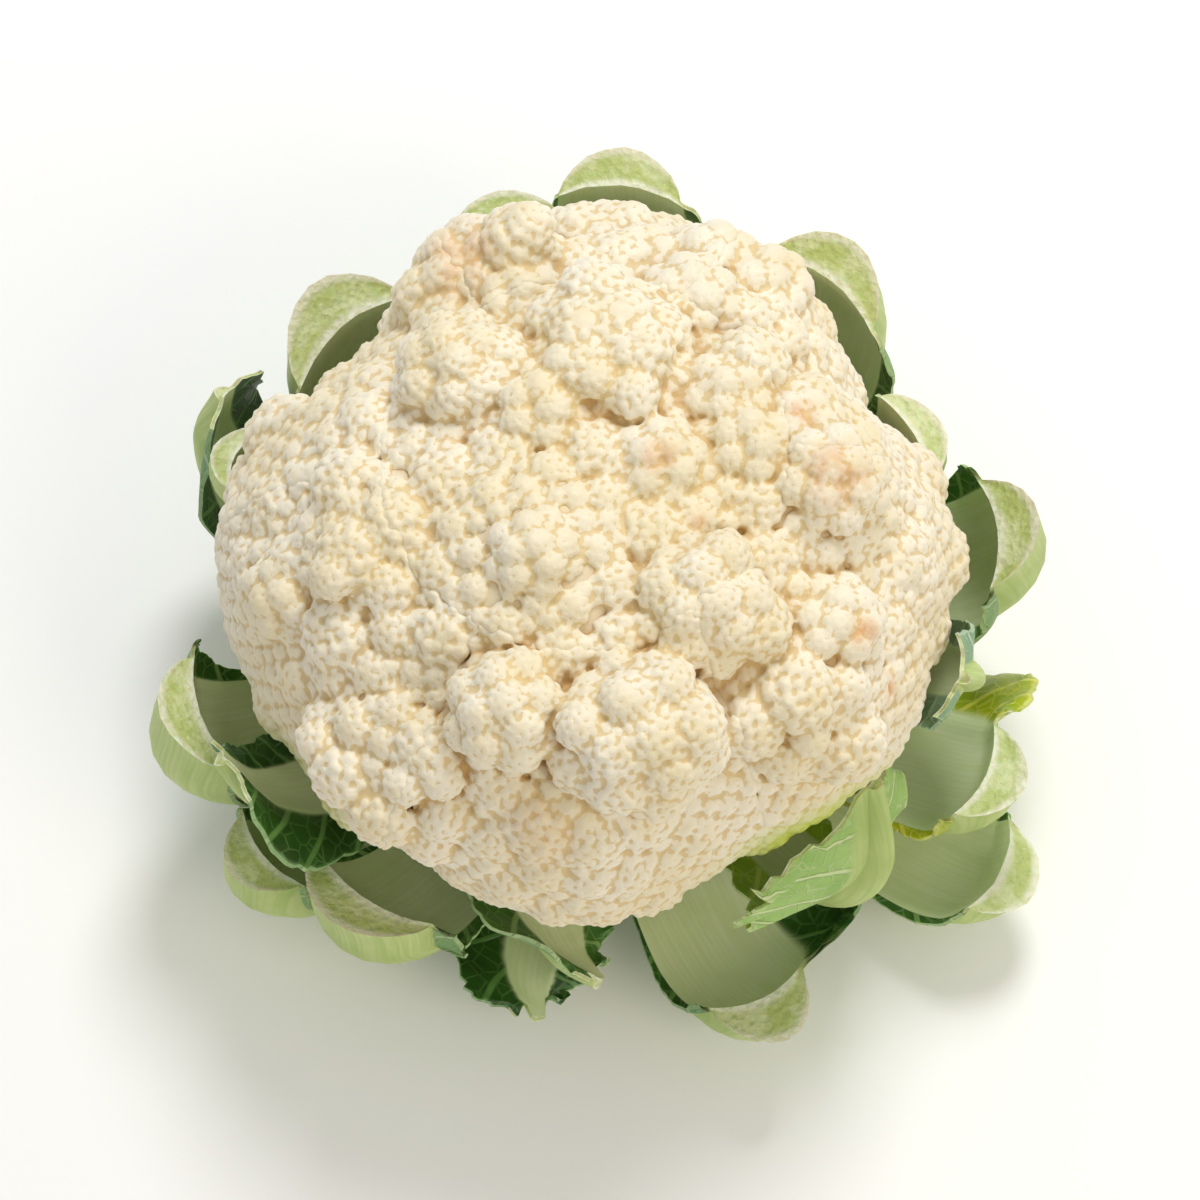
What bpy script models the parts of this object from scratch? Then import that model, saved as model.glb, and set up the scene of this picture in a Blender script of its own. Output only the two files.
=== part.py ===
"""A trimmed cauliflower head at its real size, in metres: the curd, its cut stalk and its leaves.

The head stands on the cut face of its stalk, which is centred on the origin, and +Z is up.
The side that the picture shows nearest is at -Y. Azimuths are in degrees anticlockwise from +X,
seen from above.
"""
import math
import random

import bmesh
import bpy
from mathutils import Euler, Matrix, Vector
from mathutils.bvhtree import BVHTree

MM = 0.001

# The curd's body, before its florets stand out of it
CURD_MIDDLE_Z = 78 * MM
CURD_RISE = 59 * MM
CURD_DROP = 30 * MM
CURD_UNDERSIDE_Z = 47 * MM
# How far the head reaches from its axis, as azimuth in degrees and mm
CURD_REACHES = (
    (0, 88), (12, 84.5), (16, 81.5), (23, 72.5), (29, 76), (35, 79), (46, 82), (62, 83.5),
    (74, 83), (90, 84.5), (104, 80), (119, 75.5), (133, 73), (149, 73), (163, 84),
    (180, 87.7), (191, 87), (207, 85), (226, 85), (242, 85), (256, 89), (270, 91),
    (285, 86), (297, 83), (312, 86), (326, 88.5), (343, 86), (360, 88),
)
# How far the florets stand out of the body at the rim
FLORET_STANDOUT = 4.5 * MM
CORE_SHARE = 0.97

# How the picture is read: pixels of its 1200 x 1200 frame, seen from the front and above
PIXEL = 0.2288 * MM
HEAD_PIXEL = (586, 553)
VIEW_ELEVATION = math.radians(68)

# The head's lobes, each carrying many florets: x, y, half width in pixels and bulge in mm
LOBES = (
    (530, 560, 150, 5), (700, 590, 75, 4), (815, 480, 120, 6), (895, 570, 75, 3),
    (800, 695, 95, 7), (640, 720, 85, 7), (513, 710, 60, 5), (395, 760, 95, 7),
    (375, 550, 100, 6), (275, 590, 80, 2), (460, 280, 120, 6), (620, 225, 90, 4),
    (745, 300, 110, 6), (480, 385, 85, 5), (735, 410, 70, 4),
)
LOBE_SWELL = 1.15
# Florets as the picture shows them: x, y and half width in its pixels, and how many mm
# each stands proud of its neighbours
CROWN_FLORETS = (
    (538, 556, 36, 0), (496, 499, 19, 0), (530, 496, 15, 0), (553, 476, 21, 0),
    (577, 503, 15, 0), (463, 531, 19, 0), (481, 556, 15, 0), (445, 570, 24, 0),
    (483, 590, 16, 0), (457, 632, 32, 0), (511, 624, 22, 0), (541, 603, 15, 0),
    (576, 607, 18, 0), (576, 576, 12, 1), (596, 553, 17, 0), (615, 586, 25, 0),
    (561, 646, 29, 0), (624, 639, 31, 0), (608, 503, 22, 0), (646, 538, 30, 0),
    (508, 462, 28, 0), (452, 485, 31, 0), (593, 460, 28, 0), (572, 682, 14, -2),
)
RIGHT_FLORETS = (
    (657, 469, 38, 0), (696, 607, 52, 1), (692, 524, 20, 0), (719, 547, 20, -1),
    (738, 450, 37, 1), (747, 509, 27, 0), (766, 481, 12, 0), (784, 519, 14, 0),
    (761, 555, 27, 0), (801, 538, 14, 0), (815, 557, 18, 0), (819, 484, 44, 2),
    (792, 427, 36, 0), (729, 402, 38, 0), (757, 376, 31, 1), (807, 397, 26, -1),
    (859, 440, 25, -1), (893, 452, 27, -2), (903, 482, 24, -2), (866, 474, 11, -4),
    (868, 498, 16, -1), (884, 526, 22, -1), (857, 536, 22, -1), (914, 508, 24, -1),
    (914, 540, 18, 0), (932, 535, 16, -1), (899, 567, 20, -1), (930, 568, 16, 0),
    (936, 596, 18, -1), (878, 588, 14, -2), (903, 611, 20, -1), (916, 641, 18, -2),
    (851, 574, 20, 0), (782, 588, 22, -3), (773, 616, 14, -1), (757, 634, 27, 0),
    (826, 616, 38, 2), (882, 624, 26, 0), (805, 640, 15, 1), (785, 688, 31, 2),
    (739, 717, 29, 2), (833, 682, 22, 1), (880, 680, 22, -1), (774, 753, 22, 1),
    (796, 728, 17, 2), (838, 740, 34, 2), (720, 762, 26, -3), (887, 730, 20, -5),
    (906, 752, 15, -6),
)
BACK_FLORETS = (
    (608, 358, 66, 1), (598, 398, 17, 0), (635, 410, 21, 0), (619, 383, 11, 0),
    (686, 306, 39, 1), (677, 350, 12, 0), (707, 359, 16, 1), (744, 323, 24, 0),
    (633, 299, 15, -1), (604, 241, 21, 0), (585, 228, 13, 0), (723, 283, 12, 0),
    (749, 291, 17, 0), (772, 312, 21, 0), (786, 343, 22, 0), (813, 350, 20, 0),
    (830, 374, 24, 0), (848, 402, 18, -1), (646, 258, 36, 0), (713, 256, 38, 0),
    (778, 278, 38, 0), (815, 316, 30, 0), (579, 207, 28, 0), (617, 213, 26, 0),
    (675, 222, 30, 0), (646, 205, 22, 0), (617, 268, 26, 0), (577, 264, 28, 0),
    (474, 264, 54, 0), (530, 258, 36, 0), (512, 230, 30, 0), (533, 212, 22, 0),
    (407, 300, 26, 0), (395, 322, 12, -1), (378, 306, 15, -1), (441, 322, 31, 0),
    (434, 348, 11, -1), (518, 302, 37, 0), (512, 342, 17, -1), (483, 333, 14, -1),
    (585, 297, 28, 0), (387, 341, 20, -1), (404, 360, 10, -3), (458, 378, 48, 2),
    (489, 404, 21, 0), (512, 367, 24, 1), (531, 362, 14, 0), (556, 374, 16, 0),
    (541, 416, 40, 1),
)
LEFT_FLORETS = (
    (378, 389, 34, 0), (373, 425, 25, 1), (409, 436, 16, -1), (426, 429, 14, 0),
    (453, 440, 17, 0), (422, 455, 18, 0), (480, 446, 14, -1), (342, 444, 23, 0),
    (326, 418, 22, -1), (310, 440, 20, -1), (357, 484, 31, 1), (315, 484, 18, 0),
    (347, 528, 26, -2), (405, 524, 28, 0), (393, 494, 12, -1), (266, 465, 26, -1),
    (282, 507, 32, -1), (241, 517, 25, -1), (257, 557, 24, 0), (307, 560, 26, -1),
    (301, 597, 38, 0), (236, 601, 20, -1), (263, 649, 26, -2), (246, 645, 18, -2),
    (317, 640, 22, -2), (307, 676, 29, -1), (277, 668, 22, -2), (363, 559, 30, 1),
    (347, 582, 20, 1), (401, 591, 26, 0), (353, 630, 35, 2), (405, 626, 24, 1),
    (387, 666, 23, 1), (347, 670, 26, 0), (428, 668, 20, 0),
)
FRONT_FLORETS = (
    (513, 701, 46, 2), (636, 728, 62, 1), (613, 688, 18, 0), (578, 716, 20, 1),
    (667, 678, 22, 0), (688, 717, 26, 0), (554, 745, 18, -2), (369, 716, 21, 1),
    (338, 716, 21, 2), (408, 703, 21, 0), (442, 738, 31, 1), (397, 731, 18, 0),
    (336, 738, 20, 2), (357, 764, 28, 3), (417, 772, 19, 2), (454, 768, 18, 2),
    (394, 802, 28, 3), (452, 804, 22, 3), (438, 824, 24, 3), (501, 774, 30, -1),
    (304, 750, 32, -6), (366, 820, 27, -5), (410, 842, 26, -5), (490, 828, 27, -1),
    (461, 864, 26, -1), (542, 814, 33, 0), (592, 831, 27, 0), (640, 808, 30, 0),
    (544, 860, 23, 0), (590, 868, 21, 0), (630, 864, 24, 0), (665, 856, 22, -1),
    (512, 876, 26, 0), (554, 900, 24, 0), (608, 898, 26, 0), (579, 892, 16, 0),
    (680, 812, 18, -1), (700, 815, 24, -1), (745, 803, 25, -5), (790, 792, 26, -5),
    (832, 775, 20, -6), (730, 842, 18, -6),
)
FLORET_SWELL = 1.22
FLORET_SINK = 0.55
# Florets this wide or wider carry small ones of their own
LARGE_HALF = 36
CARRIED_COUNT = 11
CARRIED_SHARE = 0.42
# Narrower ones are too small for a solid and are left to the surface
LEAST_HALF = 15
# The sides that the picture doesn't show carry florets of one size on a golden-angle spiral
UNSEEN_FLORET_RADIUS = 10 * MM
UNSEEN_TRIES = 150
UNSEEN_SPACING = 1.15
GOLDEN_ANGLE = math.radians(137.508)
CURD_TRIANGLES = 9200
# Branches that carry the florets, as thick stems under the curd
BRANCH_COUNT = 12
BRANCH_RADII = (10 * MM, 8 * MM)

# The stalk
STALK_RADIUS = 25 * MM
STALK_SIDES = 40
STALK_CHAMFER = 1.5 * MM
# Where it widens into the curd's branches, and how wide
STALK_FLARE_Z = 40.5 * MM
STALK_TOP_RADIUS = 31 * MM
CLEARANCE = 0.3 * MM

# The leaves
BLADE_THICKNESS = 1.0 * MM
LEAST_BLADE = 1.2 * MM
LEAF_ROOM = 1.2 * MM
BLADE_TURN = 0.22
LEAF_STATIONS = 8
RIB_COLUMNS = (-1.0, -0.8, -0.35, 0.35, 0.8, 1.0)
BLADE_COLUMNS = (0.5, 1.0)

# Each leaf: the way of its rib as azimuth, distance from the axis and height, in degrees and
# mm, then half width and thickness of the rib at root, middle and end, and the blade's width
# on its anticlockwise and clockwise sides at five places from root to end, all in mm. Roll is
# how far each blade turns in towards the curd, in degrees, ruffle is its wave in mm and the
# number of waves, slant tips the cut end, and ahead is how far the edge of each blade runs
# past the rib for each mm of its width.
LEAVES = {
    "leaf_right_inner": dict(
        way=((26, 25, 36), (24, 52, 38), (22, 73, 48), (21, 81, 64), (21, 81, 80)),
        half=(6, 12, 12), thick=(7, 6.5, 6), ccw=(0, 0, 2, 3, 1), cw=(0, 0, 3, 6, 3),
        roll=(25, 25), slant=0.1),
    "leaf_back_right": dict(
        way=((54, 25, 23), (52, 58, 22), (50, 86, 38), (50, 93, 62), (50, 89, 83)),
        half=(7.5, 17, 15.5), thick=(7, 8, 9), ccw=(0, 0, 4, 6, 3), cw=(0, 0, 5, 9, 5),
        roll=(30, 30), slant=0.4),
    "leaf_back": dict(
        way=((84, 25, 10), (84, 62, 11), (85, 91, 32), (85, 98, 58), (85, 94, 82)),
        half=(9, 16, 14.5), thick=(7, 8, 8), ccw=(0, 0, 3, 3, 1), cw=(0, 0, 5, 9, 6),
        roll=(30, 35), slant=0.2),
    "leaf_back_inner": dict(
        way=((104, 25, 36), (105, 54, 38), (105, 80, 50), (104, 88, 66), (103, 87, 83)),
        half=(8, 14, 13.5), thick=(7, 6, 5.5), ccw=(0, 0, 2, 3, 2), cw=(0, 0, 1, 2, 1),
        roll=(25, 25), slant=0.1),
    "leaf_back_left": dict(
        way=((135, 25, 23), (136, 53, 23), (136, 77, 36), (135, 84, 56), (135, 82, 78)),
        half=(9, 17, 17), thick=(7, 9, 10), ccw=(0, 0, 3, 4, 2), cw=(0, 0, 3, 4, 2),
        roll=(30, 30), slant=0.5),
    "leaf_left_inner": dict(
        way=((160, 25, 36), (161, 50, 38), (162, 74, 50), (163, 83, 64), (163, 82, 78)),
        half=(8, 12, 8), thick=(7, 5.5, 4.5), ccw=(0, 0, 1, 1, 1), cw=(0, 0, 1, 1, 1),
        roll=(25, 25), slant=0.1),
    "leaf_left_dark": dict(
        way=((167, 25, 10), (163, 60, 11), (159, 88, 30), (157, 97, 56), (155, 93, 80)),
        half=(8, 8, 2), thick=(7, 6, 2), ccw=(0, 3, 8, 11, 8), cw=(0, 3, 8, 12, 9),
        roll=(10, 10), ruffle=(1.5, 2.5), slant=0.0),
    "leaf_left": dict(
        way=((196, 25, 22), (198, 60, 20), (200, 88, 30), (201, 98, 47), (201, 95, 64)),
        half=(7.5, 15, 15), thick=(7, 9, 9), ccw=(0, 0, 1, 2, 1), cw=(0, 0, 4, 8, 5),
        roll=(5, 45), slant=0.5),
    "leaf_front_left_dark": dict(
        way=((213, 25, 36), (216, 52, 37), (217, 76, 46), (215, 90, 60), (211, 95, 76)),
        half=(8, 7, 2), thick=(7, 5, 2), ccw=(0, 3, 12, 17, 12), cw=(0, 3, 9, 9, 5),
        roll=(-45, -15), ruffle=(1.5, 2.0), slant=0.0),
    "leaf_front_left_low": dict(
        way=((221, 25, 10), (221, 60, 10), (220, 86, 16), (219, 97, 28), (219, 97, 42)),
        half=(8, 14, 11), thick=(7, 8, 8), ccw=(0, 0, 1, 2, 1), cw=(0, 0, 3, 4, 2),
        roll=(30, 30), slant=0.2),
    "leaf_front_left": dict(
        way=((245, 25, 23), (243, 56, 22), (239, 80, 27), (236, 90, 37), (235, 90, 51)),
        half=(7.5, 16, 17), thick=(7, 8.5, 9), ccw=(0, 2, 5, 9, 6), cw=(0, 0, 2, 3, 2),
        roll=(0, 20), slant=0.5),
    "leaf_front_dark": dict(
        way=((262, 25, 10), (261, 54, 9), (261, 72, 11), (261, 84, 14), (263, 93, 15)),
        half=(7, 6, 1.5), thick=(7, 5, 2), ccw=(0, 3, 8, 9, 4), cw=(0, 4, 13, 16, 7),
        roll=(10, -5), ruffle=(1.5, 2.0), slant=0.0),
    "leaf_front_inner": dict(
        way=((260, 25, 36), (260, 50, 36), (262, 70, 36), (266, 82, 37), (272, 90, 39)),
        half=(8, 8, 1.5), thick=(7, 5, 2), ccw=(0, 3, 7, 9, 4), cw=(0, 3, 13, 17, 9),
        roll=(10, 10), ruffle=(1.0, 2.5), slant=0.0),
    "leaf_front_right": dict(
        way=((287, 25, 23), (289, 58, 15), (291, 81, 13), (293, 96, 19), (294, 101, 30)),
        half=(7.5, 14, 12), thick=(7, 8, 9), ccw=(0, 5, 18, 28, 17), cw=(0, 0, 2, 3, 2),
        roll=(15, 20), ruffle=(1.0, 1.5), slant=0.7),
    "leaf_front_light": dict(
        way=((306, 25, 36), (307, 56, 34), (310, 85, 37), (315, 93, 52), (320, 84, 74)),
        half=(6, 6, 2), thick=(7, 6, 2), ccw=(0, 4, 9, 15, 12), cw=(0, 4, 18, 32, 34),
        roll=(10, 18), ruffle=(1.5, 2.0), slant=0.0, ahead=(-0.2, -0.25)),
    "leaf_right_low": dict(
        way=((329, 25, 10), (329, 62, 10), (328, 92, 11), (328, 109, 15), (329, 115, 24)),
        half=(9, 15, 13), thick=(7, 8, 8), ccw=(0, 0, 2, 3, 2), cw=(0, 0, 2, 3, 2),
        roll=(30, 10), slant=0.4),
    "leaf_right_front": dict(
        way=((332, 25, 23), (334, 58, 23), (335, 86, 28), (335, 100, 36), (335, 103, 49)),
        half=(7.5, 14, 12), thick=(7, 8, 8), ccw=(0, 8, 20, 21, 8), cw=(0, 0, 2, 3, 2),
        roll=(-65, 20), ruffle=(1.5, 1.5), slant=0.4),
    "leaf_right_grey": dict(
        way=((352, 25, 36), (351, 52, 38), (348, 78, 50), (344, 91, 65), (340, 90, 79)),
        half=(6, 6, 1.5), thick=(7, 5, 2), ccw=(0, 3, 5, 8, 8), cw=(0, 3, 8, 12, 10),
        roll=(15, 15), ruffle=(0.6, 2.0), slant=0.0, ahead=(0.1, -0.5)),
    "leaf_right": dict(
        way=((15, 25, 22), (12, 60, 22), (8, 88, 36), (6, 99, 54), (5, 96, 72)),
        half=(7.5, 15, 13), thick=(7, 8.5, 9), ccw=(0, 0, 4, 8, 4), cw=(0, 0, 4, 8, 5),
        roll=(35, 40), slant=0.6),
}


def clear_scene():
    for obj in list(bpy.data.objects):
        bpy.data.objects.remove(obj)


def material(name, colour, roughness):
    made = bpy.data.materials.new(name)
    made.use_nodes = True
    shader = made.node_tree.nodes["Principled BSDF"]
    shader.inputs["Base Color"].default_value = (*colour, 1.0)
    shader.inputs["Roughness"].default_value = roughness
    shader.inputs["Metallic"].default_value = 0.0
    return made


def mesh_object(name, points, faces, finish):
    mesh = bpy.data.meshes.new(name)
    mesh.from_pydata([tuple(p) for p in points], [], faces)
    mesh.materials.append(finish)
    obj = bpy.data.objects.new(name, mesh)
    bpy.context.scene.collection.objects.link(obj)
    return obj


def through(values, place):
    """The value at place, 0 to 1, on a smooth curve through evenly spaced values."""
    last = len(values) - 1
    at = min(max(place, 0.0), 1.0) * last
    i = min(int(at), last - 1)
    t = at - i
    before, low, high, after = (values[min(max(k, 0), last)] for k in range(i - 1, i + 3))
    if i == 0:
        before = 2 * low - high
    if i == last - 1:
        after = 2 * high - low
    a = -before + 3 * low - 3 * high + after
    b = 2 * before - 5 * low + 4 * high - after
    return low + 0.5 * t * ((high - before) + t * (b + t * a))


def reach(azimuth):
    """How far the curd's body reaches from the axis in this direction, in metres."""
    turn = math.degrees(azimuth) % 360
    for (low, near), (high, far) in zip(CURD_REACHES, CURD_REACHES[1:]):
        if turn <= high:
            ease = (1 - math.cos(math.pi * (turn - low) / (high - low))) / 2
            return (near + (far - near) * ease) * MM - FLORET_STANDOUT
    raise ValueError("the outline doesn't close")


def body_measure(point):
    """Below 1 inside the curd's body, 1 on its surface."""
    height = point.z - CURD_MIDDLE_Z
    across = math.hypot(point.x, point.y) / reach(math.atan2(point.y, point.x))
    return math.hypot(across, height / (CURD_RISE if height > 0 else CURD_DROP))


def body_normal(point):
    step = 0.5 * MM
    slope = Vector(
        body_measure(point + step * axis) - body_measure(point - step * axis)
        for axis in (Vector((1, 0, 0)), Vector((0, 1, 0)), Vector((0, 0, 1)))
    )
    return slope.normalized()


def sphere_hit(centre, radius, start, ray):
    """How far along the ray from start the sphere is last met, or None."""
    along = (centre - start).dot(ray)
    off = (start + along * ray - centre).length
    return along + math.sqrt(radius**2 - off**2) if off < radius else None


def seen_point(x, y, placed):
    """Where the line of sight through a pixel first meets the body or a placed floret."""
    to_eye = Vector((0, -math.cos(VIEW_ELEVATION), math.sin(VIEW_ELEVATION)))
    up = Vector((0, math.sin(VIEW_ELEVATION), math.cos(VIEW_ELEVATION)))
    side = Vector((1, 0, 0))
    right = (x - HEAD_PIXEL[0]) * PIXEL
    rise = (HEAD_PIXEL[1] - y) * PIXEL
    steps = 240
    for inward in (1.0, 0.98, 0.96, 0.94, 0.92, 0.9, 0.87, 0.84, 0.8):
        start = Vector((0, 0, CURD_MIDDLE_Z)) + inward * (right * side + rise * up)
        for k in range(steps):
            away = (120 - k) * MM
            point = start + away * to_eye
            if body_measure(point) < 1:
                break
        else:
            continue
        normal = body_normal(point)
        for centre, radius in placed:
            met = sphere_hit(centre, radius, start, to_eye)
            if met is not None and met > away:
                away, point = met, start + met * to_eye
                normal = (point - centre).normalized()
        return point, normal
    raise ValueError(f"pixel {x}, {y} lies off the curd")


def lobes():
    """The large swellings of the head, as spheres sunk in its body."""
    made = []
    for x, y, half, bulge in LOBES:
        point, normal = seen_point(x, y, ())
        radius = half * PIXEL * LOBE_SWELL
        made.append((point + normal * (bulge * MM - radius), radius))
    return made


def seen_florets(swellings):
    """Centre and radius of every floret that the picture shows, the large ones placed first."""
    listed = CROWN_FLORETS + RIGHT_FLORETS + BACK_FLORETS + LEFT_FLORETS + FRONT_FLORETS
    placed = list(swellings)
    for x, y, half, proud in sorted(listed, key=lambda floret: -floret[2]):
        if half < LEAST_HALF:
            break
        point, normal = seen_point(x, y, placed)
        radius = half * PIXEL * FLORET_SWELL
        centre = point + normal * (proud * MM - FLORET_SINK * radius)
        placed.append((centre, radius))
        if half >= LARGE_HALF:
            placed += carried_florets(centre, radius, normal)
    return placed[len(swellings):]


def carried_florets(centre, radius, normal):
    """The small florets that cover a large one, on a golden-angle spiral about its top."""
    aside = normal.orthogonal().normalized()
    beside = normal.cross(aside)
    made = []
    for k in range(CARRIED_COUNT):
        rise = 1 - 0.72 * (k + 0.3) / CARRIED_COUNT
        level = math.sqrt(1 - rise**2)
        turn = k * GOLDEN_ANGLE
        way = level * (math.cos(turn) * aside + math.sin(turn) * beside) + rise * normal
        small = radius * CARRIED_SHARE
        made.append((centre + way * (radius - 0.55 * small), small))
    return made


def unseen_florets(seen):
    """Florets on the back and low sides, wherever the seen ones leave room."""
    draw = random.Random(7)
    added = []
    for k in range(UNSEEN_TRIES):
        height = 0.95 - 1.55 * k / UNSEEN_TRIES
        level = math.sqrt(1 - min(height**2, 1))
        azimuth = k * GOLDEN_ANGLE
        radius = UNSEEN_FLORET_RADIUS * draw.uniform(0.75, 1.2)
        out = reach(azimuth) * level
        tall = CURD_RISE if height > 0 else CURD_DROP
        point = Vector((
            out * math.cos(azimuth), out * math.sin(azimuth), CURD_MIDDLE_Z + tall * height))
        centre = point - body_normal(point) * FLORET_SINK * radius
        room = all(
            (centre - other).length > UNSEEN_SPACING * max(radius, size)
            for other, size in seen + added)
        if room and centre.z - radius > CURD_UNDERSIDE_Z:
            added.append((centre, radius))
    return added


def curd_core(finish):
    """The curd's body under its florets, with a flat seat for the stalk."""
    columns, rows = 28, 12
    low = CURD_UNDERSIDE_Z
    points = [Vector((0, 0, low))]
    for row in range(1, rows):
        turn = math.pi * (row / rows - 0.5)
        for column in range(columns):
            azimuth = math.tau * column / columns
            out = reach(azimuth) * math.cos(turn) * CORE_SHARE
            tall = (CURD_RISE if turn > 0 else CURD_DROP) * math.sin(turn) * CORE_SHARE
            height = max(CURD_MIDDLE_Z + tall, low)
            points.append(Vector((out * math.cos(azimuth), out * math.sin(azimuth), height)))
    points.append(Vector((0, 0, CURD_MIDDLE_Z + CURD_RISE * CORE_SHARE)))
    faces = []
    for column in range(columns):
        beside = (column + 1) % columns
        faces.append((0, 1 + beside, 1 + column))
        top = 1 + (rows - 2) * columns
        faces.append((len(points) - 1, top + column, top + beside))
        for row in range(rows - 2):
            base = 1 + row * columns
            faces.append((base + column, base + beside, base + columns + beside,
                          base + columns + column))
    return mesh_object("curd", points, faces, finish)


def held_piece(name, shape, finish, holder):
    mesh = bpy.data.meshes.new(name)
    shape.to_mesh(mesh)
    shape.free()
    mesh.materials.append(finish)
    holder.objects.link(bpy.data.objects.new(name, mesh))


def floret_bud(number, centre, radius, fineness, finish, holder):
    turn = Euler((0.7 * number, 1.3 * number, 2.1 * number)).to_matrix().to_4x4()
    shape = bmesh.new()
    bmesh.ops.create_icosphere(
        shape, subdivisions=fineness, radius=radius,
        matrix=Matrix.Translation(centre) @ turn)
    held_piece(f"bud_{number:03d}", shape, finish, holder)


def branch_stem(number, finish, holder):
    """One thick stem from over the stalk out to the florets of the rim."""
    azimuth = math.tau * (number + 0.5) / BRANCH_COUNT
    way = Vector((math.cos(azimuth), math.sin(azimuth), 0))
    start = way * STALK_RADIUS * 0.5 + Vector((0, 0, CURD_UNDERSIDE_Z + BRANCH_RADII[0] * 1.05))
    end = way * reach(azimuth) * 0.8 + Vector((0, 0, CURD_MIDDLE_Z - CURD_DROP * 0.35))
    along = end - start
    shape = bmesh.new()
    bmesh.ops.create_cone(
        shape, cap_ends=True, segments=9, radius1=BRANCH_RADII[0], radius2=BRANCH_RADII[1],
        depth=along.length,
        matrix=Matrix.Translation((start + end) / 2) @ along.to_track_quat("Z", "X").to_matrix().to_4x4())
    held_piece(f"branch_{number:02d}", shape, finish, holder)


def make_curd(finish):
    """The head of florets: every floret is a dome, joined to the body in one solid."""
    holder = bpy.data.collections.new("curd_pieces")
    bpy.context.scene.collection.children.link(holder)
    swellings = lobes()
    seen = seen_florets(swellings)
    for number, (centre, radius) in enumerate(swellings + seen + unseen_florets(seen)):
        fineness = 3 if number < len(swellings) else 2
        floret_bud(number, centre, radius, fineness, finish, holder)
    for number in range(BRANCH_COUNT):
        branch_stem(number, finish, holder)
    curd = curd_core(finish)
    union = curd.modifiers.new("florets", "BOOLEAN")
    union.operation = "UNION"
    union.operand_type = "COLLECTION"
    union.collection = holder
    # The exact solver takes nearly a minute over this many domes
    union.solver = "MANIFOLD"
    bpy.context.view_layer.objects.active = curd
    bpy.ops.object.modifier_apply(modifier=union.name)
    for obj in list(holder.objects):
        bpy.data.objects.remove(obj)
    bpy.data.collections.remove(holder)
    shape = bmesh.new()
    shape.from_mesh(curd.data)
    bmesh.ops.triangulate(shape, faces=shape.faces)
    shape.to_mesh(curd.data)
    shape.free()
    fewer = curd.modifiers.new("fewer_faces", "DECIMATE")
    fewer.ratio = CURD_TRIANGLES / len(curd.data.polygons)
    bpy.ops.object.modifier_apply(modifier=fewer.name)
    curd.data.shade_smooth()
    curd.data.set_sharp_from_angle(angle=math.radians(50))
    return curd


def make_stalk(finish):
    """The cut stump that carries the leaves and the curd."""
    top = CURD_UNDERSIDE_Z - CLEARANCE
    outline = ((STALK_RADIUS - STALK_CHAMFER, 0), (STALK_RADIUS, STALK_CHAMFER),
               (STALK_RADIUS, STALK_FLARE_Z), (STALK_TOP_RADIUS, top - STALK_CHAMFER),
               (STALK_TOP_RADIUS, top))
    points, faces = [], []
    for radius, height in outline:
        for side in range(STALK_SIDES):
            turn = math.tau * side / STALK_SIDES
            points.append((radius * math.cos(turn), radius * math.sin(turn), height))
    for ring in range(len(outline) - 1):
        for side in range(STALK_SIDES):
            beside = (side + 1) % STALK_SIDES
            low, high = ring * STALK_SIDES, (ring + 1) * STALK_SIDES
            faces.append((low + side, low + beside, high + beside, high + side))
    last = (len(outline) - 1) * STALK_SIDES
    faces.append(tuple(reversed(range(STALK_SIDES))))
    faces.append(tuple(range(last, last + STALK_SIDES)))
    return mesh_object("stalk", points, faces, finish)


def rib_frame(leaf, place):
    """A point of the rib's middle line with its directions: along it, across it and inwards."""
    def at(where):
        azimuth, out, height = (through([p[k] for p in leaf["way"]], where) for k in range(3))
        turn = math.radians(azimuth)
        return Vector((out * math.cos(turn), out * math.sin(turn), height)) * MM

    point = at(place)
    step = 0.01
    along = (at(min(place + step, 1)) - at(max(place - step, 0))).normalized()
    inwards = Vector((0, 0, CURD_MIDDLE_Z)) - point
    inwards = (inwards - inwards.dot(along) * along).normalized()
    return point, along, inwards.cross(along), inwards


def section(leaf, place):
    """Columns across the leaf: offset across, offset inwards, rib thickness, offset along."""
    half = through(leaf["half"], place) * MM
    thick = through(leaf["thick"], place) * MM
    amount, waves = leaf.get("ruffle", (0, 0))
    ahead = leaf.get("ahead", (0, 0))
    columns = []
    for share in RIB_COLUMNS:
        lens = (1 - share**2) ** 0.55
        columns.append((share * half, 0.25 * half * share**2, thick * lens, 0.0))
    for side, widths, roll, past, front in (
            (1, leaf["ccw"], leaf["roll"][0], ahead[0], False),
            (-1, leaf["cw"], leaf["roll"][1], ahead[1], True)):
        width = max(through(widths, place) * MM, LEAST_BLADE)
        x, y = half, 0.25 * half
        turned = BLADE_TURN
        edge = []
        done = 0.0
        for share in BLADE_COLUMNS:
            stretch = width * (share - done)
            turned += math.radians(roll) * (share - done)
            x += stretch * math.cos(turned)
            y += stretch * math.sin(turned)
            wave = amount * MM * share**2 * place
            y_here = y + wave * math.sin(math.tau * waves * place + side)
            edge.append((side * x, y_here, 0.0, past * width * share * place))
            done = share
        columns = list(reversed(edge)) + columns if front else columns + edge
    return columns


def room_for_curd(rows, curd_skin):
    """How far out each point of a leaf moves, so that the whole leaf clears the curd."""
    needed = []
    for row in rows:
        line = []
        for spot in row:
            way = Vector((spot.x, spot.y, 0)).normalized()
            met = curd_skin.ray_cast(spot + way * 0.15, -way, 0.25)[0]
            gap = math.hypot(spot.x, spot.y) - math.hypot(met.x, met.y) if met else LEAF_ROOM
            line.append(max(LEAF_ROOM - gap, 0))
        needed.append(line)
    last, end = len(rows) - 1, len(rows[0]) - 1
    return [
        [max(needed[min(max(s + i, 0), last)][min(max(c + j, 0), end)]
             for i in (-1, 0, 1) for j in (-1, 0, 1)) for c in range(end + 1)]
        for s in range(last + 1)]


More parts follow.
